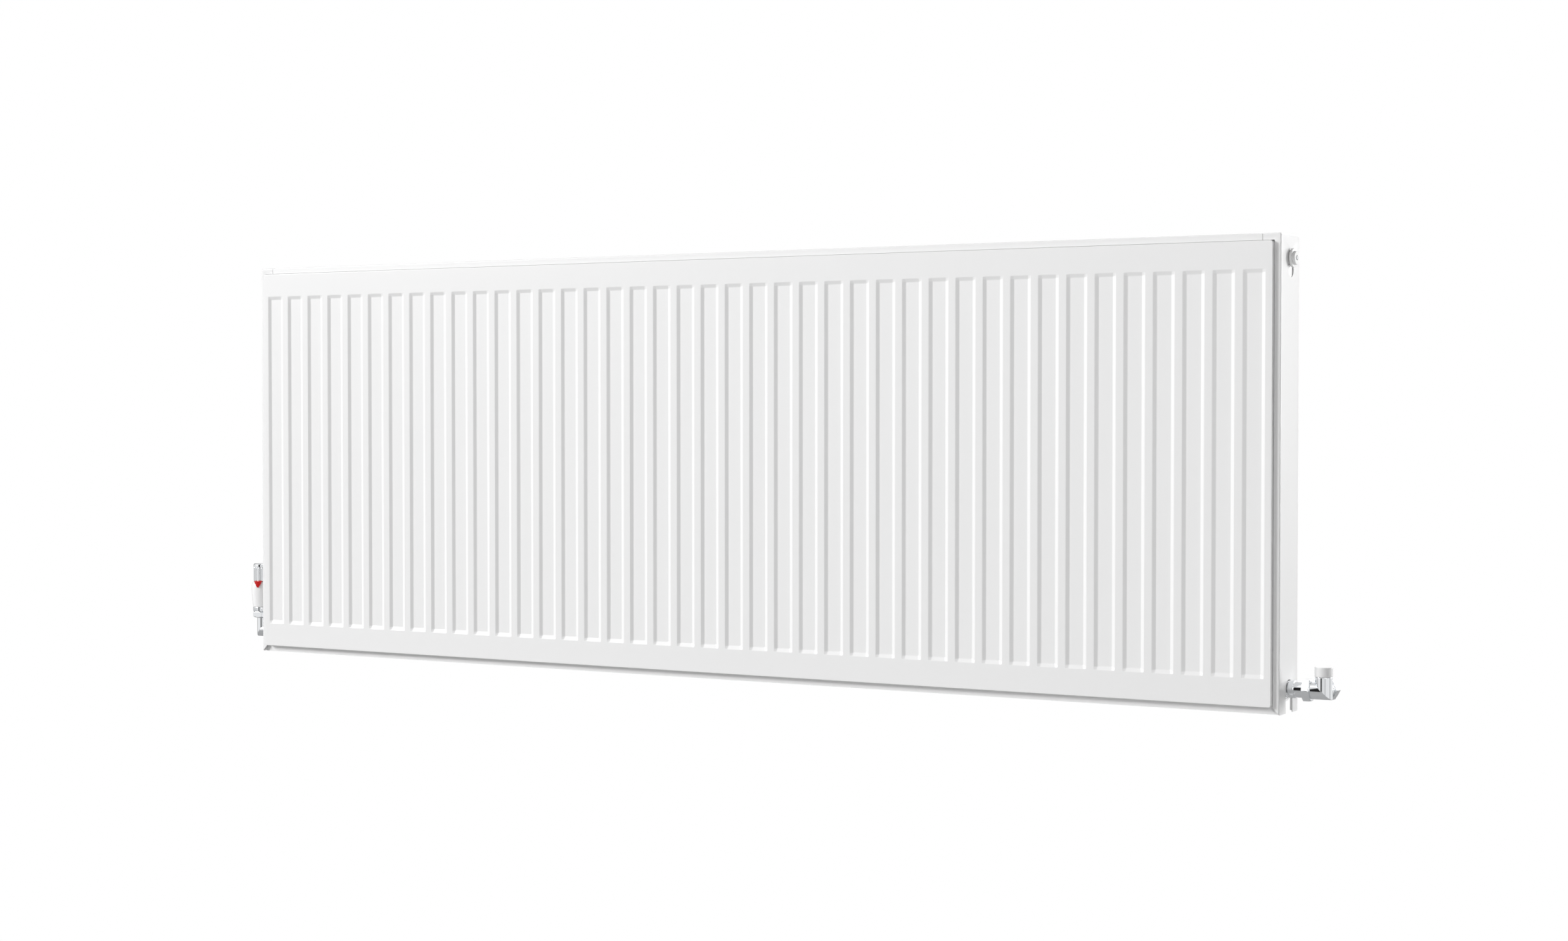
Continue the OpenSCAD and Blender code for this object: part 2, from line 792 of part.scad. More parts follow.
// White base of the head: widest near its top, open inside for the sensor
module trv_head_base() {
    h = head_base_h;
    color("white")
        translate([trv_x, tap_y, head_z])
            rotate_extrude($fn = round_fn)
                polygon([
                    [gland_r + 0.6, 0], [head_r - 2.4, 0], [head_r - 1.8, 1], [head_r - 1.1, h * 0.3],
                    [head_r - 0.3, h * 0.6], [head_r, h * 0.76], [head_r - 0.5, h * 0.9],
                    [head_r - 1.6, h - 0.8], [head_r - 2.2, h], [head_inner_r, h],
                    [head_inner_r, base_wall], [gland_r + 0.6, base_wall]
                ]);
}

// Wax sensor, held by its flange in the base
module trv_sensor() {
    z0 = pin_z1 + pin_lift + 0.4;
    color("tan") {
        rod_z(8, z0, grip_z - 4, trv_x, tap_y);
        rod_z(head_inner_r - 0.05, grip_z - 4, grip_z - 1, trv_x, tap_y);
        rod_z(grip_inner_r - 0.9, grip_z - 1, grip_z + 2, trv_x, tap_y);
    }
}

// Ribbed handwheel with a plain domed top, hollow underneath
module trv_handwheel() {
    z0 = grip_z + grip_gap;
    color("silver")
        translate([trv_x, tap_y, z0])
            difference() {
                union() {
                    linear_extrude(height = grip_ribs_h) polygon(knurl(grip_r, grip_r - 1.1, grip_ribs, 0.5));
                    translate([0, 0, grip_ribs_h])
                        rotate_extrude($fn = round_fn)
                            polygon([
                                [0, 0], [grip_r - 0.9, 0], [grip_r - 0.4, 0.8], [grip_r - 0.4, 3.2],
                                [grip_r - 1, 4.2], [grip_r - 2.2, 4.8], [0, 5]
                            ]);
                }
                translate([0, 0, -1]) cylinder(r = grip_inner_r, h = grip_ribs_h - 1, $fn = round_fn);
            }
}

// Red tongue fixed under the handwheel's rim that points down the base
module trv_pointer() {
    root_z = grip_z + grip_gap;
    tip = grip_z - 7.2;
    half_w = 5.5;
    y0 = -head_r - 1.7;
    y1 = -head_r - 0.4;
    color("red")
        translate([trv_x, tap_y, 0]) rotate([0, 0, pointer_turn]) {
            plate_xz([[-half_w, root_z], [-1.2, tip + 0.8], [0, tip], [1.2, tip + 0.8], [half_w, root_z]], y0, y1);
            block([-half_w, y0, root_z], [half_w, -grip_r + 0.05, root_z + 1.2]);
        }
}

// ---- lockshield valve ----

module lockshield_tail() {
    valve_tail(1, ls_seat_x);
    color("lightgray")
        difference() {
            translate([half_l + 1.2, tap_y, low_z]) rotate([0, 90, 0])
                linear_extrude(height = 6) polygon(knurl(9.4, 8.9, 24, 0.5));
            rod_x(tail_r - 0.1, half_l, half_l + 9, tap_y, low_z);
        }
}

module lockshield_union_nut() {
    color("silver")
        difference() {
            translate([ls_nut_x0, tap_y, low_z]) rotate([0, 90, 0]) rotate([0, 0, 30])
                hex_nut(ls_nut_x1 - ls_nut_x0, nut_af, tail_r + thread_fit);
            rod_x(valve_r + thread_fit, ls_seat_x, ls_nut_x1 + 1, tap_y, low_z);
        }
}

module lockshield_body() {
    valve_body(1, ls_x, ls_seat_x, body_top_z);
}

module lockshield_spindle() {
    color("goldenrod") {
        rod_z(spindle_r, low_z + 4, body_top_z + 4, ls_x, tap_y);
        block([ls_x - 2, tap_y - 2, body_top_z + 4], [ls_x + 2, tap_y + 2, body_top_z + 8]);
    }
}

module lockshield_gland() {
    color("goldenrod")
        difference() {
            union() {
                rod_z(gland_r, low_z + 9, body_top_z, ls_x, tap_y);
                translate([ls_x, tap_y, body_top_z]) cylinder(r = 6, h = 3, $fn = 6);
            }
            rod_z(spindle_r + run_fit, low_z + 8, body_top_z + 4, ls_x, tap_y);
        }
}

module lockshield_cap() {
    color("white")
        translate([ls_x, tap_y, cap_z0])
            rotate_extrude($fn = round_fn)
                polygon([
                    [8, 0], [cap_r - 0.3, 0], [cap_r, 0.5], [cap_r, cap_h - 1.2], [cap_r - 1.2, cap_h],
                    [0, cap_h], [0, cap_h - 1.6], [8, cap_h - 1.6]
                ]);
}

module lockshield_compression_nut() {
    compression_nut(ls_x);
}

module lockshield_olive() {
    olive(ls_x);
}

front_panel();
back_panel();
convector_fins();
tapping_bosses(tap_z, top_boss_r, top_thread_r);  // top_tapping_bosses
tapping_bosses(-tap_z, low_boss_r, low_thread_r);  // bottom_tapping_bosses
hanger_lugs();
upper_wall_brackets();
lower_wall_brackets();
bracket_inserts();
side_cover_left();
side_cover_right();
top_grille();
air_vent();
bleed_screw();
blanking_plug();
plug_washers();
trv_tail();
trv_union_nut();
trv_body();
trv_gland();
trv_pin();
trv_valve_washer();
trv_spring();
trv_compression_nut();
trv_olive();
trv_head_nut();
trv_head_collar();
trv_head_base();
trv_sensor();
trv_handwheel();
trv_pointer();
lockshield_tail();
lockshield_union_nut();
lockshield_body();
lockshield_spindle();
lockshield_gland();
lockshield_cap();
lockshield_compression_nut();
lockshield_olive();
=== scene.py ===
import json
import math

import bmesh
import bpy
from mathutils import Matrix, Vector


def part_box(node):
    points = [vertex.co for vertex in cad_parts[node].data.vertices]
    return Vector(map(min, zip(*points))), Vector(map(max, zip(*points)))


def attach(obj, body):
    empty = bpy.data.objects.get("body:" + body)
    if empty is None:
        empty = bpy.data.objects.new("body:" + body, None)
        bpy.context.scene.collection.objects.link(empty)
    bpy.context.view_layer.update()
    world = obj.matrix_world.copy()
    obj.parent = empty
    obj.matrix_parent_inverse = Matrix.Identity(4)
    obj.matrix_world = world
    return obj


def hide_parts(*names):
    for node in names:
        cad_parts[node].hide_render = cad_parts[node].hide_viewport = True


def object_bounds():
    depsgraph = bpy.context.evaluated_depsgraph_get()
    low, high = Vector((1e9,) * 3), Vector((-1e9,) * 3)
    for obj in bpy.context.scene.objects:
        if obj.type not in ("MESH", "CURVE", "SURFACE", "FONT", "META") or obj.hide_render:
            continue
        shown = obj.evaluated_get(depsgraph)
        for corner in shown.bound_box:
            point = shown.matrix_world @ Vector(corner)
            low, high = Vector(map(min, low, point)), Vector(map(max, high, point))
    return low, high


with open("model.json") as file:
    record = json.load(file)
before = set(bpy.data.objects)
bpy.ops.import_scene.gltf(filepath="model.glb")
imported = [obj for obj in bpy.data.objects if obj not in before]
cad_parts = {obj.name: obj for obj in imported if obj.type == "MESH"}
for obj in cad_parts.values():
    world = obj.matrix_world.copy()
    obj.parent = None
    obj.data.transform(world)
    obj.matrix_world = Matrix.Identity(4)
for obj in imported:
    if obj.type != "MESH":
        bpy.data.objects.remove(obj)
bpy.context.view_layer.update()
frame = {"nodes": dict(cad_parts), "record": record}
mm = 0.001
print("frame loaded")


def hexColour(text):  # sRGB hex to the linear values that Blender uses
    channels = [int(text[i:i + 2], 16) / 255 for i in (0, 2, 4)]
    return [c / 12.92 if c <= 0.04045 else ((c + 0.055) / 1.055) ** 2.4 for c in channels] + [1.0]


def addNode(tree, kind, settings=None, links=None):
    node = tree.nodes.new(kind)
    for key, value in (settings or {}).items():
        if isinstance(key, str) and hasattr(node, key):
            setattr(node, key, value)
        else:
            node.inputs[key].default_value = value
    for key, source in (links or {}).items():
        tree.links.new(source, node.inputs[key])
    return node


def newMaterial(name, colour, metallic, roughness):
    material = bpy.data.materials.new(name)
    material.use_nodes = True
    tree = material.node_tree
    shader = tree.nodes["Principled BSDF"]
    shader.inputs["Base Color"].default_value = hexColour(colour)
    shader.inputs["Metallic"].default_value = metallic
    shader.inputs["Roughness"].default_value = roughness
    material.diffuse_color = hexColour(colour)
    return material, tree, shader


def speckle(tree, shader, sizeMm, heightMm, strength, colours, roughRange, stretch=(1, 1, 1)):
    # a fine noise gives the relief, and a broad one the drift of tone and gloss where a finish has any
    place = addNode(tree, "ShaderNodeTexCoord")
    shape = addNode(tree, "ShaderNodeMapping", {"Scale": stretch}, {"Vector": place.outputs["Object"]})
    fine = addNode(tree, "ShaderNodeTexNoise", {"Scale": 1 / (sizeMm * mm), "Detail": 2.0, "Roughness": 0.5},
                   {"Vector": shape.outputs[0]})
    broad = addNode(tree, "ShaderNodeTexNoise", {"Scale": 1 / (sizeMm * 30 * mm), "Detail": 0.0},
                    {"Vector": shape.outputs[0]})
    tone = addNode(tree, "ShaderNodeMix",
                   {"data_type": "RGBA", 6: hexColour(colours[0]), 7: hexColour(colours[1])},
                   {0: broad.outputs[0]})
    tree.links.new(tone.outputs[2], shader.inputs["Base Color"])
    gloss = addNode(tree, "ShaderNodeMapRange", {"clamp": False, "From Min": 0.3, "From Max": 0.7,
                                                 "To Min": roughRange[0], "To Max": roughRange[1]},
                    {"Value": broad.outputs[0]})
    tree.links.new(gloss.outputs[0], shader.inputs["Roughness"])
    bump = addNode(tree, "ShaderNodeBump", {"Strength": strength, "Distance": heightMm * mm},
                   {"Height": fine.outputs[0]})
    tree.links.new(bump.outputs[0], shader.inputs["Normal"])


def powderCoat(name, colours, roughRange):
    # polyester powder baked on pressed steel: smooth and semi-gloss, with a faint orange peel.
    # The real peel is about 2 mm across, drawn at 5 mm so that it shows at all
    material, tree, shader = newMaterial(name, colours[0], 0.0, roughRange[0])
    shader.inputs["IOR"].default_value = 1.5
    speckle(tree, shader, 5.0, 0.05, 0.25, colours, roughRange)
    return material


def mouldedPlastic(name, colours, roughRange, sizeMm):
    # injection-moulded: a slightly soft gloss from the polished tool
    material, tree, shader = newMaterial(name, colours[0], 0.0, roughRange[0])
    shader.inputs["IOR"].default_value = 1.54
    speckle(tree, shader, sizeMm, 0.02, 0.2, colours, roughRange)
    return material


def plainMetal(name, colours, roughRange, sizeMm, stretch=(1, 1, 1)):
    # bare or plated metal: the colour sits in the reflection
    material, tree, shader = newMaterial(name, colours[0], 1.0, roughRange[0])
    speckle(tree, shader, sizeMm, 0.01, 0.25, colours, roughRange, stretch)
    return material


finishes = {
    "white_paint": powderCoat("powder coated steel white", ("f6f6f6", "f6f6f6"), (0.26, 0.27)),
    "fin_paint": powderCoat("dip primed and coated sheet steel", ("ececea", "e6e6e4"), (0.38, 0.48)),
    "bracket_steel": plainMetal("zinc plated pressed steel", ("c3c6c9", "b1b4b7"), (0.30, 0.42), 3.0),
    "grey_plastic": mouldedPlastic("moulded nylon grey", ("5a5b5d", "525355"), (0.45, 0.55), 1.0),
    "white_plastic": mouldedPlastic("moulded ABS white", ("f5f5f5", "f5f5f5"), (0.24, 0.26), 2.5),
    "red_plastic": mouldedPlastic("moulded ABS red", ("c80202", "bc0202"), (0.3, 0.36), 2.5),
    "chrome": plainMetal("bright chrome plate on brass", ("eceef0", "e4e6e8"), (0.04, 0.06), 6.0),
    "brass": plainMetal("machined brass", ("c9a456", "bd984b"), (0.20, 0.30), 1.0, (1, 1, 6)),
    "steel": plainMetal("drawn stainless steel", ("b9bbbe", "acaeb1"), (0.18, 0.28), 1.0, (1, 1, 0.2)),
    "rubber": mouldedPlastic("moulded EPDM rubber", ("1b1b1c", "222223"), (0.55, 0.70), 1.0),
}
print("finishes made")


def makePiece(name, points, faces, slot):
    mesh = bpy.data.meshes.new(name)
    mesh.from_pydata([Vector(p) * mm for p in points], [], faces)
    mesh.materials.append(finishes[slot])
    piece = bpy.data.objects.new(name, mesh)
    bpy.context.scene.collection.objects.link(piece)
    return piece


def tidyMesh(piece, mergeMm=0.002):  # doubles first, then normals outwards, all smooth
    work = bmesh.new()
    work.from_mesh(piece.data)
    bmesh.ops.remove_doubles(work, verts=work.verts, dist=mergeMm * mm)
    bmesh.ops.recalc_face_normals(work, faces=work.faces)
    for face in work.faces:
        face.smooth = True
    work.to_mesh(piece.data)
    work.free()
    return piece


def settle(piece):  # bakes the modifiers, flats keep their own normals beside a rounded edge
    weighted = piece.modifiers.new("flats", "WEIGHTED_NORMAL")
    weighted.keep_sharp = True
    weighted.weight = 100
    bpy.context.view_layer.update()
    source = piece.evaluated_get(bpy.context.evaluated_depsgraph_get())
    baked = bpy.data.meshes.new_from_object(source)
    piece.modifiers.clear()
    old = piece.data
    piece.data = baked
    baked.name = piece.name
    bpy.data.meshes.remove(old)
    return piece


def markSharp(piece, degrees):
    work = bmesh.new()
    work.from_mesh(piece.data)
    for edge in work.edges:
        if len(edge.link_faces) == 2 and edge.calc_face_angle(0) > math.radians(degrees):
            edge.smooth = False
    work.to_mesh(piece.data)
    work.free()


def place(piece, body, slot, *nodes):
    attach(piece, body)
    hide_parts(*nodes)


def joinPieces(name, pieces):
    work = bmesh.new()
    for piece in pieces:
        work.from_mesh(piece.data)
    mesh = bpy.data.meshes.new(name)
    work.to_mesh(mesh)
    work.free()
    for material in pieces[0].data.materials:
        mesh.materials.append(material)
    for piece in pieces:
        old = piece.data
        bpy.data.objects.remove(piece)
        bpy.data.meshes.remove(old)
    joined = bpy.data.objects.new(name, mesh)
    bpy.context.scene.collection.objects.link(joined)
    return joined


def newTree(name, inputs):
    tree = bpy.data.node_groups.new(name, "GeometryNodeTree")
    tree.interface.new_socket(name="Geometry", in_out="INPUT", socket_type="NodeSocketGeometry")
    for label, kind in inputs:
        tree.interface.new_socket(name=label, in_out="INPUT", socket_type=kind)
    tree.interface.new_socket(name="Geometry", in_out="OUTPUT", socket_type="NodeSocketGeometry")
    return tree, tree.nodes.new("NodeGroupInput"), tree.nodes.new("NodeGroupOutput")


def runTree(piece, tree, values):  # sets each input by its identifier, evaluates, keeps a plain mesh
    modifier = piece.modifiers.new(tree.name, "NODES")
    modifier.node_group = tree
    for item in tree.interface.items_tree:
        if item.in_out == "INPUT" and item.name in values:
            modifier[item.identifier] = values[item.name]
    bpy.context.view_layer.update()
    source = piece.evaluated_get(bpy.context.evaluated_depsgraph_get())
    baked = bpy.data.meshes.new_from_object(source)
    piece.modifiers.remove(modifier)
    old = piece.data
    piece.data = baked
    bpy.data.meshes.remove(old)
    return piece


def filletPath(points, radius, steps=3):  # rounds the corners of an open path in a plane
    path = [Vector(points[0])]
    for before, corner, after in zip(points, points[1:], points[2:]):
        corner = Vector(corner)
        toBefore = Vector(before) - corner
        toAfter = Vector(after) - corner
        room = min(radius, toBefore.length * 0.45, toAfter.length * 0.45)
        if room < 1e-4:
            path.append(corner)
            continue
        start = corner + toBefore.normalized() * room
        end = corner + toAfter.normalized() * room
        for k in range(steps + 1):
            t = k / steps
            path.append(start * (1 - t) ** 2 + corner * 2 * t * (1 - t) + end * t ** 2)
    path.append(Vector(points[-1]))
    return path


def lathe(name, path, origin, axis, slot, segments=64):
    # path holds (radius, height) pairs in mm; a radius of 0 closes the shape on its axis
    along = Vector(axis).normalized()
    side = along.orthogonal().normalized()
    other = along.cross(side)
    points, rows = [], []
    for radius, height in path:
        centre = Vector(origin) + along * height
        if radius < 1e-6:
            rows.append([len(points)])
            points.append(centre)
            continue
        rows.append(list(range(len(points), len(points) + segments)))
        for k in range(segments):
            turn = 2 * math.pi * k / segments
            points.append(centre + (side * math.cos(turn) + other * math.sin(turn)) * radius)
    faces = []
    for low, high in zip(rows, rows[1:]):
        for k in range(segments):
            n = (k + 1) % segments
            quad = [low[k % len(low)], low[n % len(low)], high[n % len(high)], high[k % len(high)]]
            face = list(dict.fromkeys(quad))
            if len(face) > 2:
                faces.append(face)
    return tidyMesh(makePiece(name, points, faces, slot))


panelFace = {
    "flutes": 41, "pitch": 33.6, "width": 24.6, "halfHeight": 213.0, "depth": 1.8, "slope": 4.0,
    "softEdge": 0.32,      # how softly a flute's wall meets the flats, as a height
    "softCorner": 2.6,     # how softly two walls of one flute meet
    "rim": 7.7, "sideRim": 6.5, "cornerRadius": 3.0, "roll": 0.8, "foot": 0.8, "footSag": 0.25,
    "flangeBack": 8.0, "chamfer": 2.0,
}


def pressTree():
    tree, inputs, output = newTree("pressedFlutes", [
        ("Pitch", "NodeSocketFloat"), ("Last flute", "NodeSocketFloat"), ("Half width", "NodeSocketFloat"),
        ("Half height", "NodeSocketFloat"), ("Depth", "NodeSocketFloat"), ("Slope", "NodeSocketFloat"),
        ("Soft edge", "NodeSocketFloat"), ("Soft corner", "NodeSocketFloat"), ("Enamel", "NodeSocketMaterial")])
    i = inputs.outputs
    here = addNode(tree, "GeometryNodeInputPosition")
    axes = addNode(tree, "ShaderNodeSeparateXYZ", {}, {0: here.outputs[0]})
    ratio = addNode(tree, "ShaderNodeMath", {"operation": "DIVIDE"}, {0: axes.outputs[0], 1: i["Pitch"]})
    nearest = addNode(tree, "ShaderNodeMath", {"operation": "ROUND"}, {0: ratio.outputs[0]})
    least = addNode(tree, "ShaderNodeMath", {"operation": "MULTIPLY", 1: -1.0}, {0: i["Last flute"]})
    kept = addNode(tree, "ShaderNodeClamp", {},
                   {0: nearest.outputs[0], 1: least.outputs[0], 2: i["Last flute"]})
    centre = addNode(tree, "ShaderNodeMath", {"operation": "MULTIPLY"}, {0: kept.outputs[0], 1: i["Pitch"]})
    away = addNode(tree, "ShaderNodeMath", {"operation": "SUBTRACT"},
                   {0: axes.outputs[0], 1: centre.outputs[0]})
    awayX = addNode(tree, "ShaderNodeMath", {"operation": "ABSOLUTE"}, {0: away.outputs[0]})
    awayZ = addNode(tree, "ShaderNodeMath", {"operation": "ABSOLUTE"}, {0: axes.outputs[2]})
    insideX = addNode(tree, "ShaderNodeMath", {"operation": "SUBTRACT"},
                      {0: i["Half width"], 1: awayX.outputs[0]})
    insideZ = addNode(tree, "ShaderNodeMath", {"operation": "SUBTRACT"},
                      {0: i["Half height"], 1: awayZ.outputs[0]})
    inside = addNode(tree, "ShaderNodeMath", {"operation": "SMOOTH_MIN"},
                     {0: insideX.outputs[0], 1: insideZ.outputs[0], 2: i["Soft corner"]})
    pitchOfWall = addNode(tree, "ShaderNodeMath", {"operation": "DIVIDE"}, {0: i["Depth"], 1: i["Slope"]})
    ramp = addNode(tree, "ShaderNodeMath", {"operation": "MULTIPLY"},
                   {0: inside.outputs[0], 1: pitchOfWall.outputs[0]})
    floor = addNode(tree, "ShaderNodeMath", {"operation": "SMOOTH_MIN"},
                    {0: ramp.outputs[0], 1: i["Depth"], 2: i["Soft edge"]})
    pressed = addNode(tree, "ShaderNodeMath", {"operation": "SMOOTH_MAX", 1: 0.0},
                      {0: floor.outputs[0], 2: i["Soft edge"]})
    push = addNode(tree, "ShaderNodeCombineXYZ", {}, {1: pressed.outputs[0]})
    moved = addNode(tree, "GeometryNodeSetPosition", {}, {0: i["Geometry"], "Offset": push.outputs[0]})
    real = addNode(tree, "GeometryNodeRealizeInstances", {}, {0: moved.outputs[0]})
    coated = addNode(tree, "GeometryNodeSetMaterial", {}, {0: real.outputs[0], "Material": i["Enamel"]})
    tree.links.new(coated.outputs[0], output.inputs[0])
    return tree


def buildFrontPanel():
    p = panelFace
    low, high = (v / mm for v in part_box("front_panel"))
    faceY, seamY = low.y, high.y
    halfW = high.x - p["sideRim"]
    halfH = -low.z - p["rim"]
    inset = p["cornerRadius"]
    s = p["softEdge"] * p["slope"] / p["depth"]
    steps = [-1.5 * s, -s, -0.5 * s, 0, 0.5 * s, s, p["slope"] - s, p["slope"] - 0.5 * s, p["slope"],
             p["slope"] + 0.5 * s, p["slope"] + s, p["slope"] + 1.5 * s]
    xs = [-(halfW - inset), halfW - inset]
    for k in range(p["flutes"]):
        centre = (k - (p["flutes"] - 1) / 2) * p["pitch"]
        for d in steps:
            xs += [centre - p["width"] / 2 + d, centre + p["width"] / 2 - d]
    zs = [-(halfH - inset), halfH - inset, 0.0]
    for d in steps:
        zs += [-p["halfHeight"] + d, p["halfHeight"] - d]
    xs, zs = sorted(xs), sorted(zs)
    nx, nz = len(xs), len(zs)
    points = [(x, faceY, z) for z in zs for x in xs]
    faces = [(r * nx + c, r * nx + c + 1, (r + 1) * nx + c + 1, (r + 1) * nx + c)
             for r in range(nz - 1) for c in range(nx - 1)]

    # the border of the sheet, with a fan of directions at each corner
    fan = 6
    border = []
    corners = [(nx - 1, 0, -90), (nx - 1, nz - 1, 0), (0, nz - 1, 90), (0, 0, 180)]
    runs = [[(c, 0) for c in range(1, nx - 1)], [(nx - 1, r) for r in range(1, nz - 1)],
            [(c, nz - 1) for c in range(nx - 2, 0, -1)], [(0, r) for r in range(nz - 2, 0, -1)]]
    for run, (cornerC, cornerR, angle) in zip(runs, corners):
        for c, r in run:
            border.append((r * nx + c, angle, None))
        for k in range(fan + 1):
            border.append((cornerR * nx + cornerC, angle + 90 * k / fan, k / fan))

    def ring(reach, y):
        first = len(points)
        for index, angle, _ in border:
            x, _, z = points[index]
            turn = math.radians(angle)
            points.append((x + reach * math.cos(turn), y, z + reach * math.sin(turn)))
        return list(range(first, len(points)))

    def outerRing(y):  # the flange's own outline, with its corners cut at 45 degrees
        first = len(points)
        w, top, bottom, c = high.x, high.z, low.z, p["chamfer"]
        for index, angle, share in border:
            x, _, z = points[index]
            sx, sz = (1 if x > 0 else -1), (1 if z > 0 else -1)
            edgeZ = top if sz > 0 else bottom
            if share is None:
                quarter = round(angle / 90) % 4
                spot = {3: (x, bottom), 0: (w, z), 1: (x, top), 2: (-w, z)}[quarter]
            else:
                a, b = (sx * (w - c), edgeZ), (sx * w, edgeZ - sz * c)
                if sx * sz > 0:
                    a, b = b, a
                spot = (a[0] + (b[0] - a[0]) * share, a[1] + (b[1] - a[1]) * share)
            points.append((spot[0], y, spot[1]))
        return list(range(first, len(points)))

    roll, flangeY = p["roll"], faceY + p["flangeBack"]
    loops = [[index for index, _, _ in border]]
    for k in range(6):
        turn = math.radians(18 * k)
        loops.append(ring(inset - roll + roll * math.sin(turn), faceY + roll - roll * math.cos(turn)))
    foot = p["foot"]
    loops.append(ring(inset, flangeY - foot))
    loops.append(ring(inset + p["footSag"], flangeY - p["footSag"]))
    loops.append(ring(inset + foot, flangeY))
    loops.append(outerRing(flangeY))
    loops.append(outerRing(seamY))
    count = len(border)
    for inner, outer in zip(loops, loops[1:]):
        for k in range(count):
            n = (k + 1) % count
            face = list(dict.fromkeys([inner[k], inner[n], outer[n], outer[k]]))
            if len(face) > 2:
                faces.append(face[::-1])
    # the hidden back, as strips from the lower to the upper edge
    last = loops[-1]
    lower, right = last[:nx - 2], last[nx - 2:nx - 2 + fan + 1 + nz - 2 + fan + 1]
    upper = last[nx - 2 + 2 * (fan + 1) + nz - 2:][:nx - 2]
    left = last[nx - 2 + 2 * (fan + 1) + nz - 2 + nx - 2:]
    upper = upper[::-1]
    for k in range(len(lower) - 1):
        faces.append((lower[k], lower[k + 1], upper[k + 1], upper[k]))
    faces.append([lower[-1]] + right + [upper[-1]])
    faces.append([upper[0]] + left + [lower[0]])

    piece = tidyMesh(makePiece("frontPanel", points, faces, "white_paint"), 0.0005)
    runTree(piece, pressTree(), {
        "Pitch": p["pitch"] * mm, "Last flute": (p["flutes"] - 1) / 2, "Half width": p["width"] / 2 * mm,
        "Half height": p["halfHeight"] * mm, "Depth": p["depth"] * mm, "Slope": p["slope"] * mm,
        "Soft edge": p["softEdge"] * mm, "Soft corner": p["softCorner"] * mm,
        "Enamel": finishes["white_paint"]})
    markSharp(piece, 60)
    return settle(piece)


place(buildFrontPanel(), "radiator", "white_paint", "front_panel")
print("front panel pressed")


finWave = {"pitch": 33.6, "flat": 9.0, "sheet": 0.6, "bend": 1.6, "lugWave": 4, "waves": 41}


def repeatTree(name):  # copies one shape in a row along X and joins the copies
    tree, inputs, output = newTree(name, [("Count", "NodeSocketInt"), ("Spacing", "NodeSocketFloat"),
                                          ("Shape", "NodeSocketObject"), ("Finish", "NodeSocketMaterial")])
    i = inputs.outputs
    step = addNode(tree, "ShaderNodeCombineXYZ", {}, {0: i["Spacing"]})
    less = addNode(tree, "ShaderNodeMath", {"operation": "SUBTRACT", 1: 1.0}, {0: i["Count"]})
    span = addNode(tree, "ShaderNodeMath", {"operation": "MULTIPLY"}, {0: less.outputs[0], 1: i["Spacing"]})
    back = addNode(tree, "ShaderNodeMath", {"operation": "MULTIPLY", 1: -0.5}, {0: span.outputs[0]})
    start = addNode(tree, "ShaderNodeCombineXYZ", {}, {0: back.outputs[0]})
    row = addNode(tree, "GeometryNodeMeshLine", {"mode": "OFFSET"},
                  {"Count": i["Count"], "Start Location": start.outputs[0], "Offset": step.outputs[0]})
    shape = addNode(tree, "GeometryNodeObjectInfo", {"transform_space": "ORIGINAL"}, {"Object": i["Shape"]})
    copies = addNode(tree, "GeometryNodeInstanceOnPoints", {},
                     {"Points": row.outputs[0], "Instance": shape.outputs["Geometry"]})
    both = addNode(tree, "GeometryNodeJoinGeometry", {}, {0: copies.outputs[0]})
    tree.links.new(i["Geometry"], both.inputs[0])
    real = addNode(tree, "GeometryNodeRealizeInstances", {}, {0: both.outputs[0]})
    coated = addNode(tree, "GeometryNodeSetMaterial", {}, {0: real.outputs[0], "Material": i["Finish"]})
    tree.links.new(coated.outputs[0], output.inputs[0])
    return tree


rowTree = repeatTree("shapesInARow")


def dropPiece(piece):
    old = piece.data
    bpy.data.objects.remove(piece)
    bpy.data.meshes.remove(old)


def thicken(piece, thickness, offset=-1.0):
    solid = piece.modifiers.new("sheet", "SOLIDIFY")
    solid.thickness = thickness * mm
    solid.offset = offset
    solid.use_even_offset = True
    return piece


def buildFins():
    p = finWave
    low, high = (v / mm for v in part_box("convector_fins"))
    half = p["pitch"] / 2
    foot, crest, k = half - p["flat"] / 2, p["flat"] / 2, p["sheet"] / 2
    corners = [(-half, low.y + k, 0), (-foot, low.y + k, 0), (-crest, high.y - k, 0),
               (crest, high.y - k, 0), (foot, low.y + k, 0), (half, low.y + k, 0)]
    path = filletPath(corners, p["bend"])
    n = len(path)
    points = [(v.x, v.y, low.z) for v in path] + [(v.x, v.y, high.z) for v in path]
    wave = makePiece("finWave", points, [(j, j + 1, n + j + 1, n + j) for j in range(n - 1)], "fin_paint")
    total, gap = p["waves"], p["lugWave"]
    middle = total - 2 * gap - 2
    runs = []
    for count, first in ((gap, 0), (middle, gap + 1), (gap, total - gap)):
        run = makePiece("finRun", [], [], "fin_paint")
        runTree(run, rowTree, {"Count": count, "Spacing": p["pitch"] * mm, "Shape": wave,
                               "Finish": finishes["fin_paint"]})
        centre = first + (count - 1) / 2 - (total - 1) / 2
        run.data.transform(Matrix.Translation((centre * p["pitch"] * mm, 0, 0)))
        runs.append(run)
    dropPiece(wave)
    fins = tidyMesh(joinPieces("convectorFins", runs), 0.01)
    return settle(thicken(fins, p["sheet"], 0.0))


place(buildFins(), "radiator", "fin_paint", "convector_fins")
print("convector folded")


grille = {"pitch": 12.0, "slot": 6.5, "edge": 9.0, "lip": 7.2, "rearLip": 12.0, "sheet": 0.8, "fold": 1.1,
          "burr": 0.15}


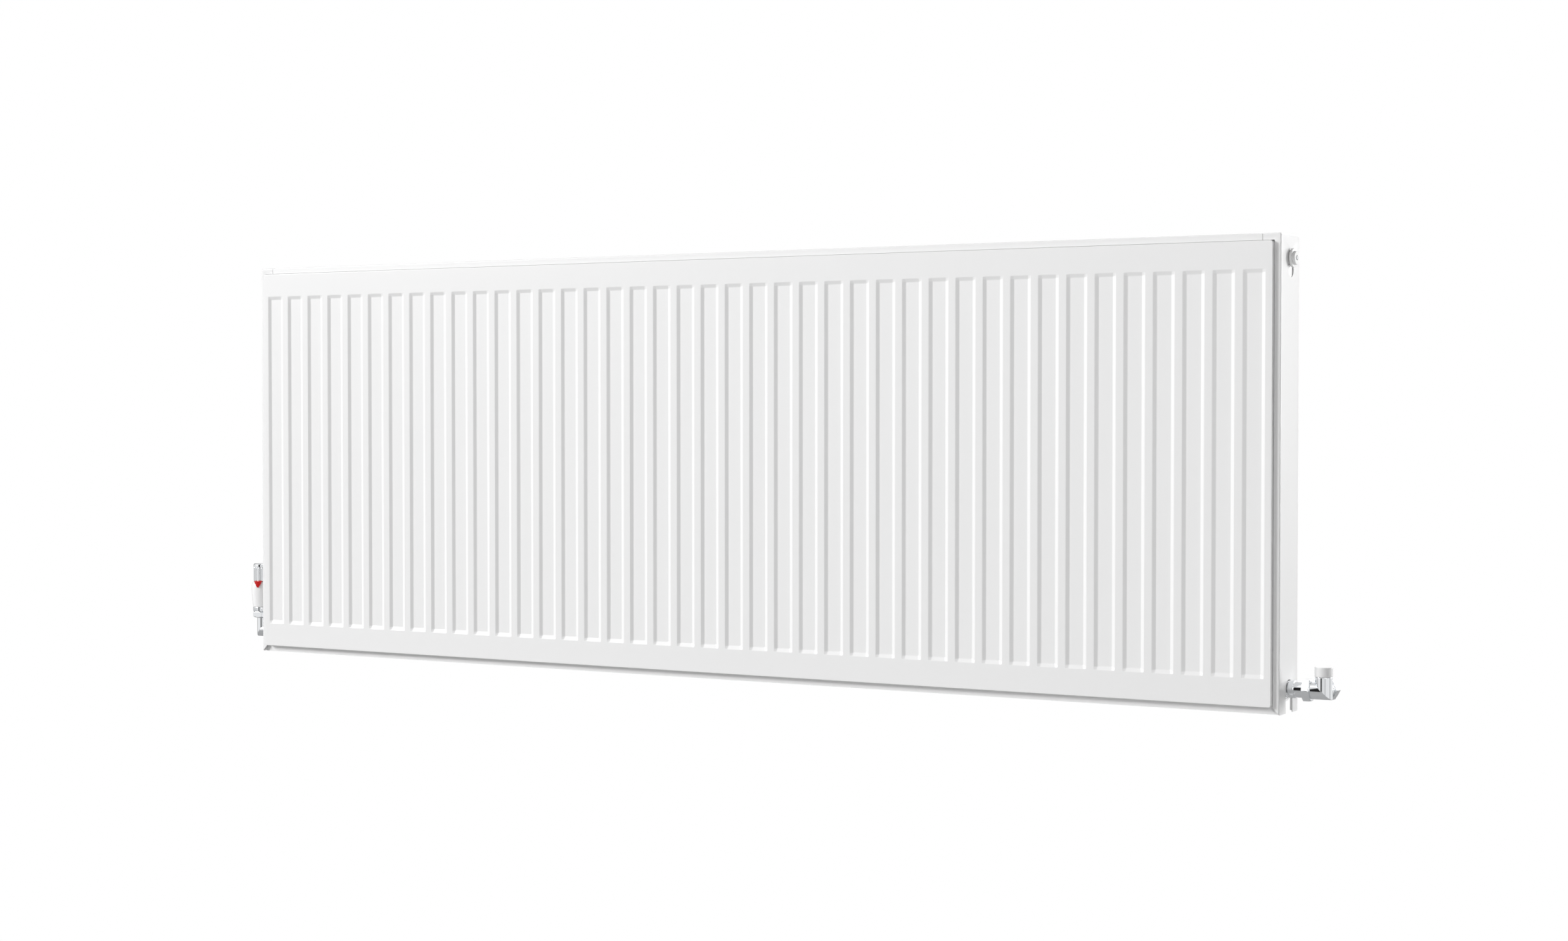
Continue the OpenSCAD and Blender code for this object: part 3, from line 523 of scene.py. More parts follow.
def sheetColumns(profile, xs):  # quads between neighbouring columns of the same cross-section
    n = len(profile)
    points = [(x, y, z) for x in xs for y, z in profile]
    faces = [(c * n + j, (c + 1) * n + j, (c + 1) * n + j + 1, c * n + j + 1)
             for c in range(len(xs) - 1) for j in range(n - 1)]
    return points, faces


def buildGrille():
    p = grille
    low, high = (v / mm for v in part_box("top_grille"))
    lipFront = [(low.y, high.z - p["lip"], 0), (low.y, high.z, 0), (low.y + p["edge"] / 2, high.z, 0)]
    lipRear = [(high.y - p["edge"] / 2, high.z, 0), (high.y, high.z, 0), (high.y, high.z - p["rearLip"], 0)]
    front, rear = ([(v.x, v.y) for v in filletPath(lip, p["fold"], 4)] for lip in (lipFront, lipRear))
    slots = int((high.x - low.x - 2 * p["edge"]) / p["pitch"])
    half, r = p["pitch"] / 2, p["slot"] / 2
    nearY, farY = low.y + p["edge"] + r, high.y - p["edge"] - r
    points, faces = sheetColumns(front, (-half, 0, half))
    more, moreFaces = sheetColumns(rear, (-half, 0, half))
    faces += [[len(points) + v for v in f] for f in moreFaces]
    points += more
    for turn, baseY, edgeY in ((-1, nearY, front[-1][0]), (1, farY, rear[0][0])):
        arc = [(-r * math.cos(math.radians(30 * k)), baseY + turn * r * math.sin(math.radians(30 * k)), high.z)
               for k in range(7)]
        midY = (baseY + edgeY) / 2
        hull = [(-half, baseY), (-half, midY), (-half, edgeY), (0, edgeY), (half, edgeY), (half, midY),
                (half, baseY)]
        first = len(points)
        points += arc + [(x, y, high.z) for x, y in hull]
        faces += [(first + k, first + k + 1, first + 8 + k, first + 7 + k) for k in range(6)]
    first = len(points)
    for s in (-1, 1):
        points += [(s * x, y, high.z) for x, y in ((half, nearY), (r, nearY), (r, farY), (half, farY))]
    faces += [(first, first + 1, first + 2, first + 3), (first + 4, first + 5, first + 6, first + 7)]
    tile = makePiece("grilleSlot", points, faces, "white_paint")

    whole = front + rear
    reach = slots * half
    points, faces = sheetColumns(whole, (low.x, -reach))
    more, moreFaces = sheetColumns(whole, (reach, high.x))
    faces += [[len(points) + v for v in f] for f in moreFaces]
    ends = makePiece("topGrille", points + more, faces, "white_paint")
    runTree(ends, rowTree, {"Count": slots, "Spacing": p["pitch"] * mm, "Shape": tile,
                            "Finish": finishes["white_paint"]})
    dropPiece(tile)
    tidyMesh(ends, 0.01)
    work = bmesh.new()
    work.from_mesh(ends.data)
    work.faces.ensure_lookup_table()
    upper = max(work.faces, key=lambda f: f.calc_center_median().z)
    if upper.normal.z < 0:
        bmesh.ops.reverse_faces(work, faces=work.faces)
    work.to_mesh(ends.data)
    work.free()
    thicken(ends, p["sheet"])
    edge = ends.modifiers.new("burr", "BEVEL")
    edge.width, edge.segments = p["burr"] * mm, 1
    edge.limit_method, edge.angle_limit = "ANGLE", math.radians(60)
    return settle(ends)


place(buildGrille(), "grille", "white_paint", "top_grille")
print("grille punched and folded")


cover = {"sheet": 0.8, "lip": 7.2, "tab": 20.0, "rear": 8.0, "fold": 1.5,
         "lowSlot": 10.0, "topSlot": 7.4, "slotTop": 2.6, "slotBottom": 12.6, "tapY": -55.0, "tapZ": 225.0}


def buildCover(name, node, side):
    p = cover
    low, high = (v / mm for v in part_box(node))
    outX = high.x if side > 0 else -low.x
    frontY, rearY, bottom, top = low.y, high.y, low.z, high.z
    work = bmesh.new()
    seen = {}

    def vert(x, y, z):
        key = (round(x, 4), round(y, 4), round(z, 4))
        if key not in seen:
            seen[key] = work.verts.new(Vector((side * x, y, z)) * mm)
        return seen[key]

    def plate(outline):
        return work.faces.new([vert(*v) for v in outline])

    def edges(loop, closed=True):
        verts = [vert(*v) for v in loop]
        pairs = list(zip(verts, verts[1:] + verts[:1])) if closed else list(zip(verts, verts[1:]))
        return [work.edges.get(pair) or work.edges.new(pair) for pair in pairs]

    lipX, tabX, lipZ = outX - p["lip"], outX - p["tab"], top - p["lip"]
    plate([(outX, frontY, bottom), (outX, frontY, top), (tabX, frontY, top), (tabX, frontY, lipZ),
           (lipX, frontY, lipZ), (lipX, frontY, bottom + p["lip"])])
    plate([(outX, frontY, top), (outX, rearY, top), (outX - p["rear"], rearY, top), (tabX, rearY, top),
           (tabX, frontY, top)])
    plate([(outX, rearY, bottom), (outX, rearY, top), (outX - p["rear"], rearY, top),
           (outX - p["rear"], rearY, bottom)])
    r = p["lowSlot"]
    halfTurn = [math.radians(15 * k) for k in range(13)]
    arc = [(outX, p["tapY"] + r * math.cos(a), -p["tapZ"] + r * math.sin(a)) for a in halfTurn]
    rim = [(outX, rearY, top), (outX, rearY, bottom), (outX, p["tapY"] + r, bottom)] + arc + [
        (outX, p["tapY"] - r, bottom), (outX, frontY, bottom), (outX, frontY, top)]
    r = p["topSlot"]
    z1, z0 = p["tapZ"] + p["slotTop"], p["tapZ"] - p["slotBottom"]
    hole = [(outX, p["tapY"] + r * math.cos(a), z1 + r * math.sin(a)) for a in halfTurn]
    hole += [(outX, p["tapY"] - r * math.cos(a), z0 - r * math.sin(a)) for a in halfTurn]
    bmesh.ops.triangle_fill(work, edges=edges(rim) + edges(hole), use_beauty=True)
    bmesh.ops.recalc_face_normals(work, faces=work.faces)
    # the skin is turned to face away from a point inside the cover
    middle = Vector((side * (outX - p["tab"] / 2), (frontY + rearY) / 2, 0)) * mm
    plateFace = max(work.faces, key=lambda f: abs(f.normal.x) * f.calc_area())
    if plateFace.normal.dot(plateFace.calc_center_median() - middle) < 0:
        bmesh.ops.reverse_faces(work, faces=work.faces)
    folds = [e for e in work.edges if len(e.link_faces) == 2 and e.calc_face_angle(0) > 1.0]
    bmesh.ops.bevel(work, geom=folds, offset=p["fold"] * mm, segments=5, profile=0.5, affect="EDGES")
    for face in work.faces:
        face.smooth = True
    mesh = bpy.data.meshes.new(name)
    work.to_mesh(mesh)
    work.free()
    mesh.materials.append(finishes["white_paint"])
    piece = bpy.data.objects.new(name, mesh)
    bpy.context.scene.collection.objects.link(piece)
    return settle(thicken(piece, p["sheet"]))


place(buildCover("sideCoverLeft", "side_cover_left", -1), "cover_left", "white_paint", "side_cover_left")
place(buildCover("sideCoverRight", "side_cover_right", 1), "cover_right", "white_paint", "side_cover_right")
print("side covers folded")


ventParts = {
    "thread": 6.55, "core": 5.4, "collar": 7.0, "flange": 10.0, "hub": 7.2, "key": 2.55, "land": 1.2,
    "grooveFrom": 18.0, "grooveTo": 19.5,                          # from the inner end
    "flangeBack": 5.4, "flangeFront": 3.0, "hubFoot": 2.7,         # from the outer end
}


def buildVent(name, node, side):
    p = ventParts
    low, high = (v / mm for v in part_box(node))
    end = high.x if side > 0 else -low.x
    first = low.x if side > 0 else -high.x
    origin = (0, (low.y + high.y) / 2, (low.z + high.z) / 2)
    grooveFrom, grooveTo = first + p["grooveFrom"], first + p["grooveTo"]
    back, front = end - p["flangeBack"], end - p["flangeFront"]
    outer = [(p["key"], first), (p["thread"] - 0.6, first), (p["thread"], first + 1), (p["thread"], grooveFrom),
             (p["core"], grooveFrom), (p["core"], grooveTo), (p["collar"], grooveTo), (p["collar"], back),
             (p["flange"], back), (p["flange"], front)]
    face = [(p["flange"] - p["land"], front), (p["hub"], end - p["hubFoot"]), (p["hub"], end)]
    mouth = [(p["key"] + 0.5, end), (p["key"], end - 0.5), (p["key"], first)]
    path = [(v.x, v.y) for v in filletPath([(r, h, 0) for r, h in outer + face + mouth], 0.5, 3)]
    return settle(lathe(name, path, origin, (side, 0, 0), "white_plastic", 72))


place(buildVent("airVent", "air_vent", 1), "radiator", "white_plastic", "air_vent")
place(buildVent("blankingPlug", "blanking_plug", -1), "radiator", "white_plastic", "blanking_plug")
print("vent and plug turned")


valve = {
    "barrel": 9.2, "water": 5.0, "pipe": 7.55, "tail": 8.4, "thread": 10.4, "axisY": -55.0, "tapZ": -225.0,
    "branch": 15.0, "socket": 7.0, "gland": 6.45, "bowl": 6.0,
    "threadLength": 16.0, "collar": 9.3, "collarFrom": 4.4, "collarTo": 10.2,
    "union": 22.4, "unionBore": 8.45,                    # union nuts, across the flats
    "leftSeat": 707.0, "leftNut": 702.0, "leftNutLength": 9.0,
    "rightSeat": 721.5, "rightNut": 716.5, "rightNutLength": 8.5,
    "clamp": 20.4, "clampLength": 10.5, "clampOverlap": 5.5,
}


def hexNut(name, origin, axis, corner, length, across, bore, rings=()):
    # the hexagon is cut by a cone at both ends, which leaves the curved chamfers of a turned nut
    p = across / 2
    along = Vector(axis).normalized()
    side = Vector(corner).normalized()
    other = along.cross(side)
    offsets = [0, 1.2, 3, 6, 11, 17, 23, 30, 37, 43, 49, 54, 57, 58.8]
    turns = [math.radians(60 * s + o) for s in range(6) for o in offsets]
    heights = [0, 0.25, 0.55, 0.9, 1.3, length - 1.3, length - 0.9, length - 0.55, length - 0.25, length]
    points, rows = [], []

    def addRow(radiusAt, height):
        rows.append(range(len(points), len(points) + len(turns)))
        for turn in turns:
            outwards = side * math.cos(turn) + other * math.sin(turn)
            points.append(Vector(origin) + along * height + outwards * radiusAt(turn))

    def flats(turn):
        sharp = p / math.cos(math.radians(30) - turn % math.radians(60))
        return min(sharp, p / math.cos(math.radians(30)) - 0.12)

    addRow(lambda t: bore, 0)
    addRow(lambda t: p * 0.94, 0)
    for height in heights:
        cone = p * 0.97 + 1.75 * min(height, length - height)
        addRow(lambda t: min(flats(t), cone), height)
    addRow(lambda t: p * 0.94, length)
    addRow(lambda t: bore, length)
    addRow(lambda t: bore, 0)
    count = len(turns)
    faces = [(a[k], a[(k + 1) % count], b[(k + 1) % count], b[k])
             for a, b in zip(rows, rows[1:]) for k in range(count)]
    piece = tidyMesh(makePiece(name, points, faces, "chrome"))
    markSharp(piece, 50)
    return piece


def tube(name, path, origin, axis, slot="chrome", radius=0.4, segments=64):
    rounded = [(v.x, v.y) for v in filletPath([(r, h, 0) for r, h in path], radius, 3)]
    return lathe(name, rounded, origin, axis, slot, segments)


def buildElbow(name, node, side, seatX):
    # one barrel that turns upwards on a 45 degree mitre, and a branch to the wall behind it
    p = valve
    low, high = (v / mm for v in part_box(node))
    axisX = (high.x if side > 0 else low.x) - side * p["barrel"]
    r, y, z = p["barrel"], p["axisY"], p["tapZ"]
    top = high.z
    segments = 72
    angles = [2 * math.pi * k / segments for k in range(segments)]
    points, rows = [], []

    def level(radius, x):
        rows.append([(x, y + radius * math.cos(a), z + radius * math.sin(a)) for a in angles])

    def upright(radius, height):
        rows.append([(axisX - side * radius * math.sin(a), y + radius * math.cos(a), height) for a in angles])

    def mitre(radius, slide, lift):
        rows.append([(axisX - side * (radius * math.sin(a) + slide), y + radius * math.cos(a),
                      z + radius * math.sin(a) + lift) for a in angles])

    level(p["water"], seatX)
    level(r - 1.4, seatX)
    level(r - 0.4, seatX + side * 0.1)
    level(r, seatX + side * 0.5)
    mitre(r, 0.5, 0.0)
    mitre(r - 0.04, 0.2, 0.0)
    mitre(r - 0.1, 0.0, 0.0)
    mitre(r - 0.04, 0.0, 0.2)
    mitre(r, 0.0, 0.5)
    upright(r, top - 0.5)
    upright(r - 0.15, top - 0.15)
    upright(r - 0.5, top)
    upright(p["gland"], top)
    upright(p["gland"], z + p["bowl"])
    for row in rows:
        points += row
    faces = []
    for a in range(len(rows) - 1):
        for k in range(segments):
            n = (k + 1) % segments
            faces.append((a * segments + k, a * segments + n, (a + 1) * segments + n, (a + 1) * segments + k))
    elbow = tidyMesh(makePiece(name + "Elbow", points, faces, "chrome"))
    markSharp(elbow, 50)
    branch = tube(name + "Branch", [(0, 2), (r, 2), (r, p["branch"]), (p["pipe"], p["branch"]),
                                    (p["pipe"], p["branch"] - p["socket"]), (0, p["branch"] - p["socket"])],
                  (axisX, y, z), (0, 1, 0))
    return settle(joinPieces(name, [elbow, branch])), axisX


def buildClampNut(name, axisX):
    p = valve
    start = p["axisY"] + p["branch"] - p["clampOverlap"]
    return settle(hexNut(name, (axisX, start, p["tapZ"]), (0, 1, 0), (1, 0, 0), p["clampLength"], p["clamp"],
                         p["pipe"]))


def buildUnionNut(name, side, which):
    p = valve
    start = (side * p[which], p["axisY"], p["tapZ"])
    return settle(hexNut(name, start, (side, 0, 0), (0, -1, 0), p[which + "Length"], p["union"], p["unionBore"]))


def buildTail(name, node, side, collar):
    p = valve
    low, high = (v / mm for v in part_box(node))
    first = low.x if side > 0 else -high.x
    end = high.x if side > 0 else -low.x
    thread = first + p["threadLength"]
    path = [(p["water"], first), (p["thread"] - 0.8, first), (p["thread"], first + 1), (p["thread"], thread),
            (p["tail"], thread)]
    if collar:
        near, far = thread + p["collarFrom"], thread + p["collarTo"]
        path += [(p["tail"], near), (p["collar"], near), (p["collar"], far), (p["tail"], far)]
    path += [(p["tail"], end), (p["water"], end), (p["water"], first)]
    return settle(tube(name, path, (0, p["axisY"], p["tapZ"]), (side, 0, 0)))


leftBody, leftAxis = buildElbow("trvBody", "trv_body", -1, -valve["leftSeat"])
place(leftBody, "radiator", "chrome", "trv_body")
rightBody, rightAxis = buildElbow("lockshieldBody", "lockshield_body", 1, valve["rightSeat"])
place(rightBody, "radiator", "chrome", "lockshield_body")
place(buildTail("trvTail", "trv_tail", -1, False), "radiator", "chrome", "trv_tail")
place(buildTail("lockshieldTail", "lockshield_tail", 1, True), "radiator", "chrome", "lockshield_tail")
place(buildClampNut("trvCompressionNut", leftAxis), "radiator", "chrome", "trv_compression_nut")
place(buildClampNut("lockshieldCompressionNut", rightAxis), "radiator", "chrome", "lockshield_compression_nut")
place(buildUnionNut("trvUnionNut", -1, "leftNut"), "radiator", "chrome", "trv_union_nut")
place(buildUnionNut("lockshieldUnionNut", 1, "rightNut"), "radiator", "chrome", "lockshield_union_nut")


lockCap = {"bore": 8.0, "lap": 0.3, "crown": 1.6, "edge": 0.9}    # the rim laps a little over the body's end


def buildLockCap():
    p = lockCap
    low, high = (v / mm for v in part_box("lockshield_cap"))
    r, h = (high.x - low.x) / 2, high.z - low.z
    path = [(p["bore"], -p["lap"]), (r, -p["lap"]), (r, h), (0, h), (0, h - p["crown"]),
            (p["bore"], h - p["crown"]), (p["bore"], -p["lap"])]
    spot = (rightAxis, valve["axisY"], low.z)
    return settle(tube("lockshieldCap", path, spot, (0, 0, 1), "white_plastic", p["edge"]))


place(buildLockCap(), "lockshield_cover", "white_plastic", "lockshield_cap")
print("valve bodies made")


head = {"z": -195.0, "height": 33.5, "widest": 16.6, "inner": 11.0, "neck": 7.0, "nut": 26.4,
        "collar": 13.9, "knurls": 30, "grip": 14.0, "drum": 10.4, "ribs": 18}


def aroundTree():  # stands copies of a shape in a ring about the Z axis, each turned to face outwards
    tree, inputs, output = newTree("shapesInARing", [
        ("Count", "NodeSocketInt"), ("Radius", "NodeSocketFloat"), ("Shape", "NodeSocketObject"),
        ("Finish", "NodeSocketMaterial")])
    i = inputs.outputs
    circle = addNode(tree, "GeometryNodeMeshCircle", {}, {"Vertices": i["Count"], "Radius": i["Radius"]})
    here = addNode(tree, "GeometryNodeInputPosition")
    facing = addNode(tree, "FunctionNodeAlignRotationToVector", {"axis": "X", "pivot_axis": "Z"},
                     {"Vector": here.outputs[0]})
    shape = addNode(tree, "GeometryNodeObjectInfo", {"transform_space": "ORIGINAL"}, {"Object": i["Shape"]})
    copies = addNode(tree, "GeometryNodeInstanceOnPoints", {},
                     {"Points": circle.outputs[0], "Instance": shape.outputs["Geometry"],
                      "Rotation": facing.outputs[0]})
    both = addNode(tree, "GeometryNodeJoinGeometry", {}, {0: copies.outputs[0]})
    tree.links.new(i["Geometry"], both.inputs[0])
    real = addNode(tree, "GeometryNodeRealizeInstances", {}, {0: both.outputs[0]})
    coated = addNode(tree, "GeometryNodeSetMaterial", {}, {0: real.outputs[0], "Material": i["Finish"]})
    tree.links.new(coated.outputs[0], output.inputs[0])
    return tree


ringTree = aroundTree()


def ribShape(name, halfWidth, depth, z0, z1, slot):  # an upright rib with a half-round face and rounded ends
    rows = [(z0, 0.15), (z0 + 0.25, 0.7), (z0 + 0.8, 1.0), (z1 - 0.8, 1.0), (z1 - 0.25, 0.7), (z1, 0.15)]
    angles = [math.radians(-90 + 22.5 * k) for k in range(9)]
    points = [(depth * s * math.cos(a) - 0.3, halfWidth * math.sin(a), z) for z, s in rows for a in angles]
    n = len(angles)
    faces = [(r * n + k, r * n + k + 1, (r + 1) * n + k + 1, (r + 1) * n + k)
             for r in range(len(rows) - 1) for k in range(n - 1)]
    faces += [tuple(range(n))[::-1], tuple(range((len(rows) - 1) * n, len(rows) * n))]
    faces += [((r + 1) * n, (r + 1) * n + n - 1, r * n + n - 1, r * n) for r in range(len(rows) - 1)]
    return tidyMesh(makePiece(name, points, faces, slot))


def addRing(piece, centre, count, radius, rib, slot):  # the tree works about Z, so the piece goes there
    shift = Matrix.Translation(Vector(centre) * mm)
    piece.data.transform(shift.inverted())
    runTree(piece, ringTree, {"Count": count, "Radius": radius * mm, "Shape": rib, "Finish": finishes[slot]})
    piece.data.transform(shift)
    dropPiece(rib)
    return piece


def buildHead():
    p = head
    spot = (leftAxis, valve["axisY"], p["z"])
    h, r = p["height"], p["widest"]
    outline = [(p["neck"], 0), (r - 2.4, 0), (r - 1.8, 1), (r - 1.1, h * 0.3), (r - 0.3, h * 0.6),
               (r, h * 0.76), (r - 0.5, h * 0.9), (r - 1.6, h - 0.8), (r - 2.2, h), (p["inner"], h),
               (p["inner"], 2.0), (p["neck"], 2.0), (p["neck"], 0)]
    base = tube("trvHeadBase", outline, spot, (0, 0, 1), "white_plastic", 2.2, 96)
    place(settle(base), "radiator", "white_plastic", "trv_head_base")

    nutLow, nutHigh = (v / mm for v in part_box("trv_head_nut"))
    nut = hexNut("trvHeadNut", (leftAxis, valve["axisY"], nutLow.z), (0, 0, 1), (1, 0, 0), nutHigh.z - nutLow.z,
                 p["nut"], valve["gland"])
    place(settle(nut), "radiator", "chrome", "trv_head_nut")

    ringLow, ringHigh = (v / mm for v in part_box("trv_head_collar"))
    height = ringHigh.z - ringLow.z
    ring = [(p["neck"], 0), (p["collar"], 0), (p["collar"], height), (p["neck"], height), (p["neck"], 0)]
    collar = tube("trvHeadCollar", ring, (leftAxis, valve["axisY"], ringLow.z), (0, 0, 1), "chrome", 0.4, 96)
    knurl = ribShape("knurl", 0.75, 1.15, 0.3, height - 0.3, "chrome")
    addRing(collar, (leftAxis, valve["axisY"], ringLow.z), p["knurls"], p["collar"], knurl, "chrome")
    place(settle(collar), "radiator", "chrome", "trv_head_collar")

    wheelLow, wheelHigh = (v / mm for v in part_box("trv_handwheel"))
    g, gh = p["grip"], wheelHigh.z - wheelLow.z
    shell = [(p["drum"], 0), (g - 1.1, 0), (g - 1.1, gh - 5.2), (g - 0.5, gh - 5.0), (g - 0.4, gh - 1.9),
             (g - 1.0, gh - 0.8), (g - 2.4, gh - 0.2), (0, gh), (0, gh - 7), (p["drum"], gh - 7),
             (p["drum"], 0)]
    wheel = tube("trvHandwheel", shell, (leftAxis, valve["axisY"], wheelLow.z), (0, 0, 1), "chrome", 0.5, 96)
    rib = ribShape("gripRib", 1.25, 1.35, 0.4, gh - 5.4, "chrome")
    addRing(wheel, (leftAxis, valve["axisY"], wheelLow.z), p["ribs"], g - 1.15, rib, "chrome")
    place(settle(wheel), "handwheel", "chrome", "trv_handwheel")
    return wheelLow.z


pointer = {"turn": 14.0, "tongue": 0.6, "outer": 1.6, "inner": 0.45, "tip": 7.5, "rise": 1.2,
           "taper": 0.86, "curve": 1.1}


def buildPointer(rimZ):  # a red tongue that follows the base's curve and tapers to a rounded tip
    p = pointer
    columns, rows = 12, 10
    outer, inner = head["widest"] + p["outer"], head["widest"] + p["inner"]
    tipZ, topZ = rimZ - p["tip"], rimZ + p["rise"]
    points = []
    for radius in (outer, inner):
        for row in range(rows + 1):
            t = row / rows
            z = topZ + (tipZ - topZ) * t
            fall = max(0.0, (rimZ - z) / (rimZ - tipZ))
            shrink = 1.0 - p["taper"] * fall ** p["curve"]
            for k in range(columns + 1):
                turn = math.radians(-90 + p["turn"]) + (k / columns - 0.5) * p["tongue"] * shrink
                points.append((leftAxis + radius * math.cos(turn), valve["axisY"] + radius * math.sin(turn), z))
    n = columns + 1
    layer = n * (rows + 1)
    faces = []
    for s in (0, layer):
        faces += [(s + r * n + k, s + r * n + k + 1, s + (r + 1) * n + k + 1, s + (r + 1) * n + k)
                  for r in range(rows) for k in range(columns)]
    edge = list(range(n)) + [r * n + columns for r in range(1, rows + 1)]
    edge += [rows * n + k for k in range(columns - 1, -1, -1)] + [r * n for r in range(rows - 1, 0, -1)]
    faces += [(a, b, b + layer, a + layer) for a, b in zip(edge, edge[1:] + edge[:1])]
    # the foot reaches in to the wheel's drum
    first = len(points)
    for z in (rimZ, topZ):
        for radius in (head["grip"] - 0.6, inner + 0.3):
            for k in range(columns + 1):
                turn = math.radians(-90 + p["turn"]) + (k / columns - 0.5) * p["tongue"]
                points.append((leftAxis + radius * math.cos(turn), valve["axisY"] + radius * math.sin(turn), z))
    for k in range(columns):
        a, b, c, d = (first + row * n + k for row in range(4))
        faces += [(a, a + 1, b + 1, b), (d, d + 1, c + 1, c), (b, b + 1, d + 1, d), (c, c + 1, a + 1, a)]
    for k in (0, columns):
        faces.append(tuple(first + row * n + k for row in (0, 1, 3, 2)))
    piece = tidyMesh(makePiece("trvPointer", points, faces, "red_plastic"))
    markSharp(piece, 50)
    return settle(piece)


place(buildPointer(buildHead()), "handwheel", "red_plastic", "trv_pointer")
print("thermostatic head made")


for entry in frame["record"]["subparts"]:
    kept = frame["nodes"][entry["node"]]
    for holder in kept.material_slots:
        holder.material = finishes[entry["material_slot"]]
print("finishes on the frame's own pieces")


studio = {
    "floorDrop": 0.42, "floorReach": 2600.0, "ambient": 0.04, "mirror": 0.95,
    # compass bearings from +X in degrees, each with its brightness
    "cards": [(-180, 1.0), (-114, 1.0), (-113, 0.02), (-97, 0.02), (-96, 0.8), (-60, 0.95), (-58, 0.55),
              (-50, 0.55), (-48, 0.95), (12, 1.0), (13, 0.03), (18, 0.03), (19, 1.0), (138, 1.0), (141, 0.12),
              (164, 0.12), (167, 1.0), (180, 1.0)],
    # heights from the nadir, 0, to the zenith, 1
    "room": [(0.0, 0.3), (0.3, 0.35), (0.37, 0.6), (0.4, 1.0), (1.0, 1.0)],
}
# place, what it points at, width, height and watts
studioLights = {
    "keyLight": ((-7.4, -5.4, 3.2), (0, -0.08, 0), 3.2, 2.6, 850.0),
    "fillLight": ((2.7, -2.3, 0.5), (0.5, -0.08, 0), 1.4, 1.4, 24.0),
    "topLight": ((-0.3, -1.25, 1.7), (0, -0.08, 0), 1.6, 0.5, 8.0),
    "sideLight": ((3.4, 3.0, 0.6), (0.7, -0.06, 0), 1.6, 1.6, 112.0),
    "backLight": ((0.3, 4.5, 1.8), (0, -0.05, 0), 4.0, 2.5, 75.0),
}


def buildFloor():
    z = (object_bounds()[0][2] - studio["floorDrop"]) / mm
    far = studio["floorReach"]
    floor = makePiece("studioFloor", [(-far, -far, z), (far, -far, z), (far, far, z), (-far, far, z)],
                      [(0, 1, 2, 3)], "white_paint")
    material = bpy.data.materials.new("studio floor")
    material.use_nodes = True
    tree = material.node_tree
    tree.nodes.clear()
    ray = addNode(tree, "ShaderNodeLightPath")
    matt = addNode(tree, "ShaderNodeBsdfDiffuse", {"Color": hexColour("c8c8c8")})
    white = addNode(tree, "ShaderNodeEmission", {"Color": hexColour("ffffff"), "Strength": 1.0})
    mix = addNode(tree, "ShaderNodeMixShader", {}, {0: ray.outputs["Is Camera Ray"], 1: matt.outputs[0],
                                                    2: white.outputs[0]})
    addNode(tree, "ShaderNodeOutputMaterial", {}, {0: mix.outputs[0]})
    floor.data.materials[0] = material


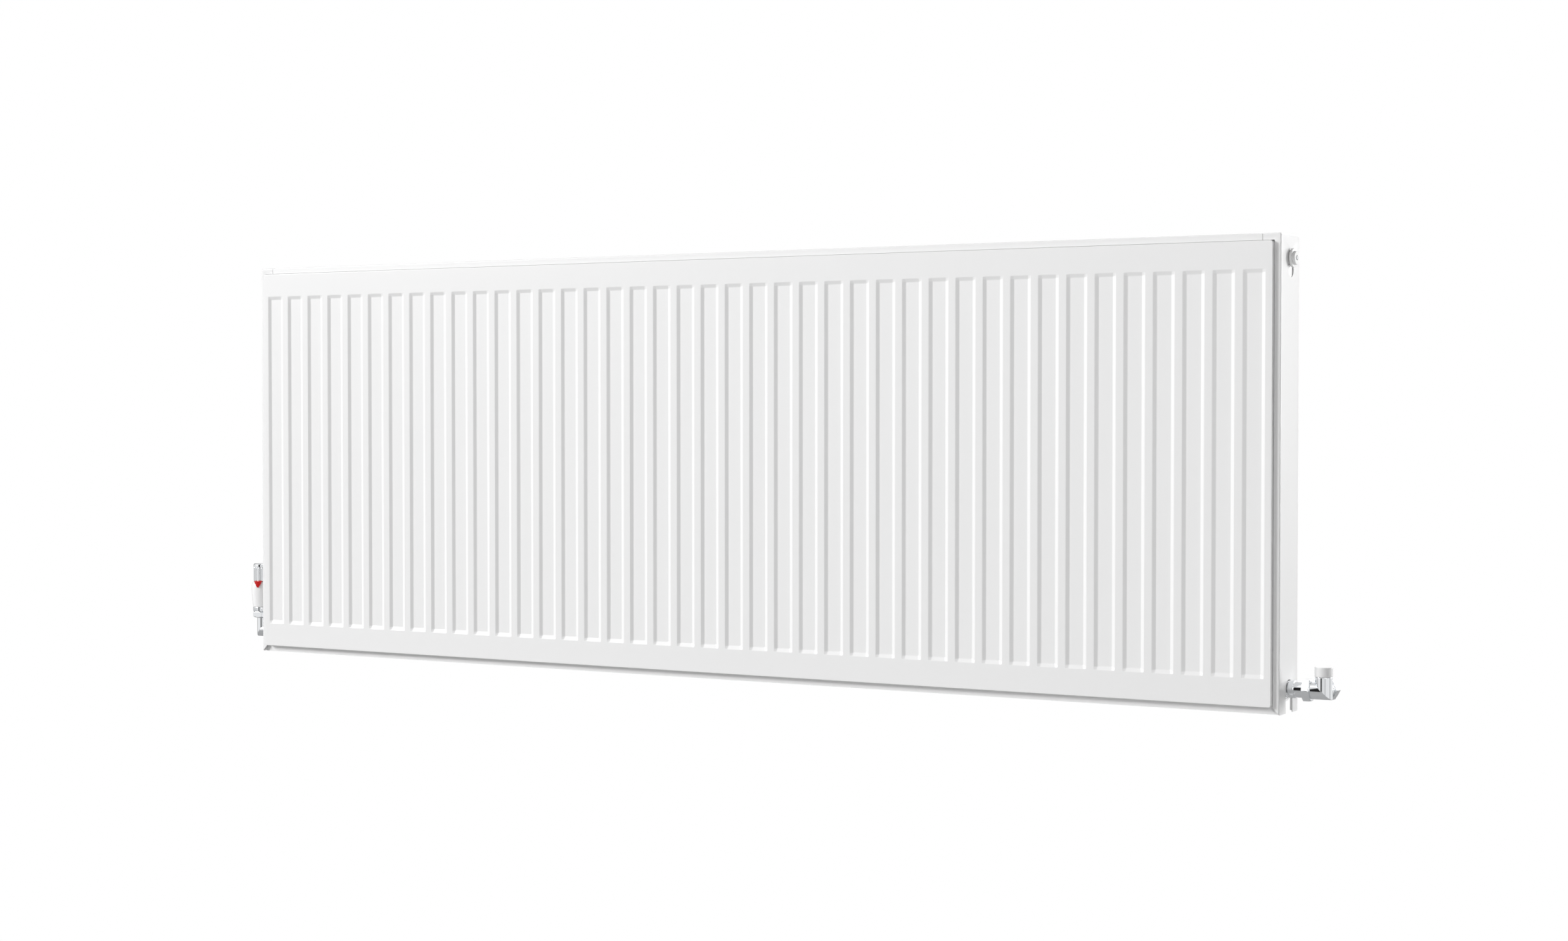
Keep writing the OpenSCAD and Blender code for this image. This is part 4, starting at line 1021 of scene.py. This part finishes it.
def buildWorld():
    world = bpy.data.worlds.new("studio")
    bpy.context.scene.world = world
    world.use_nodes = True
    tree = world.node_tree
    tree.nodes.clear()
    place3d = addNode(tree, "ShaderNodeTexCoord")
    axes = addNode(tree, "ShaderNodeSeparateXYZ", {}, {0: place3d.outputs["Generated"]})
    bearing = addNode(tree, "ShaderNodeMath", {"operation": "ARCTAN2"},
                      {0: axes.outputs[1], 1: axes.outputs[0]})
    turn = addNode(tree, "ShaderNodeMapRange", {"From Min": -math.pi, "From Max": math.pi},
                   {"Value": bearing.outputs[0]})
    # what the chrome sees: a bright room that greys far below, with dark cards round it
    cards = addNode(tree, "ShaderNodeValToRGB", {}, {0: turn.outputs[0]})
    height = addNode(tree, "ShaderNodeMapRange", {"From Min": -1.0, "From Max": 1.0},
                     {"Value": axes.outputs[2]})
    room = addNode(tree, "ShaderNodeValToRGB", {}, {0: height.outputs[0]})
    cardStops = [((degrees + 180) / 360, level) for degrees, level in studio["cards"]]
    for node, stops in ((cards, cardStops), (room, studio["room"])):
        ramp = node.color_ramp
        while len(ramp.elements) < len(stops):
            ramp.elements.new(0.5)
        for element, (spot, level) in zip(ramp.elements, stops):
            element.position = spot
            element.color = (level, level, level, 1)
    both = addNode(tree, "ShaderNodeMix", {"data_type": "RGBA", "blend_type": "MULTIPLY", 0: 1.0},
                   {6: cards.outputs[0], 7: room.outputs[0]})
    ray = addNode(tree, "ShaderNodeLightPath")
    soft = addNode(tree, "ShaderNodeBackground", {0: hexColour("ffffff"), 1: studio["ambient"]})
    mirror = addNode(tree, "ShaderNodeBackground", {1: studio["mirror"]}, {0: both.outputs[2]})
    clear = addNode(tree, "ShaderNodeBackground", {0: hexColour("ffffff"), 1: 1.0})
    seen = addNode(tree, "ShaderNodeMixShader", {}, {0: ray.outputs["Is Glossy Ray"], 1: soft.outputs[0],
                                                     2: mirror.outputs[0]})
    mix = addNode(tree, "ShaderNodeMixShader", {}, {0: ray.outputs["Is Camera Ray"], 1: seen.outputs[0],
                                                    2: clear.outputs[0]})
    addNode(tree, "ShaderNodeOutputWorld", {}, {0: mix.outputs[0]})


def softBox(name, spot, target, width, height, power):
    light = bpy.data.lights.new(name, "AREA")
    light.shape, light.size, light.size_y, light.energy = "RECTANGLE", width, height, power
    holder = bpy.data.objects.new(name, light)
    bpy.context.scene.collection.objects.link(holder)
    holder.location = spot
    holder.rotation_euler = (Vector(target) - Vector(spot)).to_track_quat("-Z", "Y").to_euler()


buildFloor()
buildWorld()
for name, (spot, target, width, height, power) in studioLights.items():
    softBox(name, spot, target, width, height, power)


cameraSet = {"sensor": 36.0, "lens": 60.355, "near": 0.05, "far": 200.0,
             "place": (1.6689, -2.67656, 0.07105), "dip": 0.0246, "swing": 0.5443}


def addCamera():
    view = bpy.data.cameras.new("camera")
    view.sensor_width, view.lens = cameraSet["sensor"], cameraSet["lens"]
    view.clip_start, view.clip_end = cameraSet["near"], cameraSet["far"]
    holder = bpy.data.objects.new("camera", view)
    bpy.context.scene.collection.objects.link(holder)
    holder.location = cameraSet["place"]
    holder.rotation_euler = (math.pi / 2 - cameraSet["dip"], 0.0, cameraSet["swing"])
    bpy.context.scene.camera = holder


addCamera()
bpy.context.scene.view_settings.view_transform = "Standard"
print("studio lit")
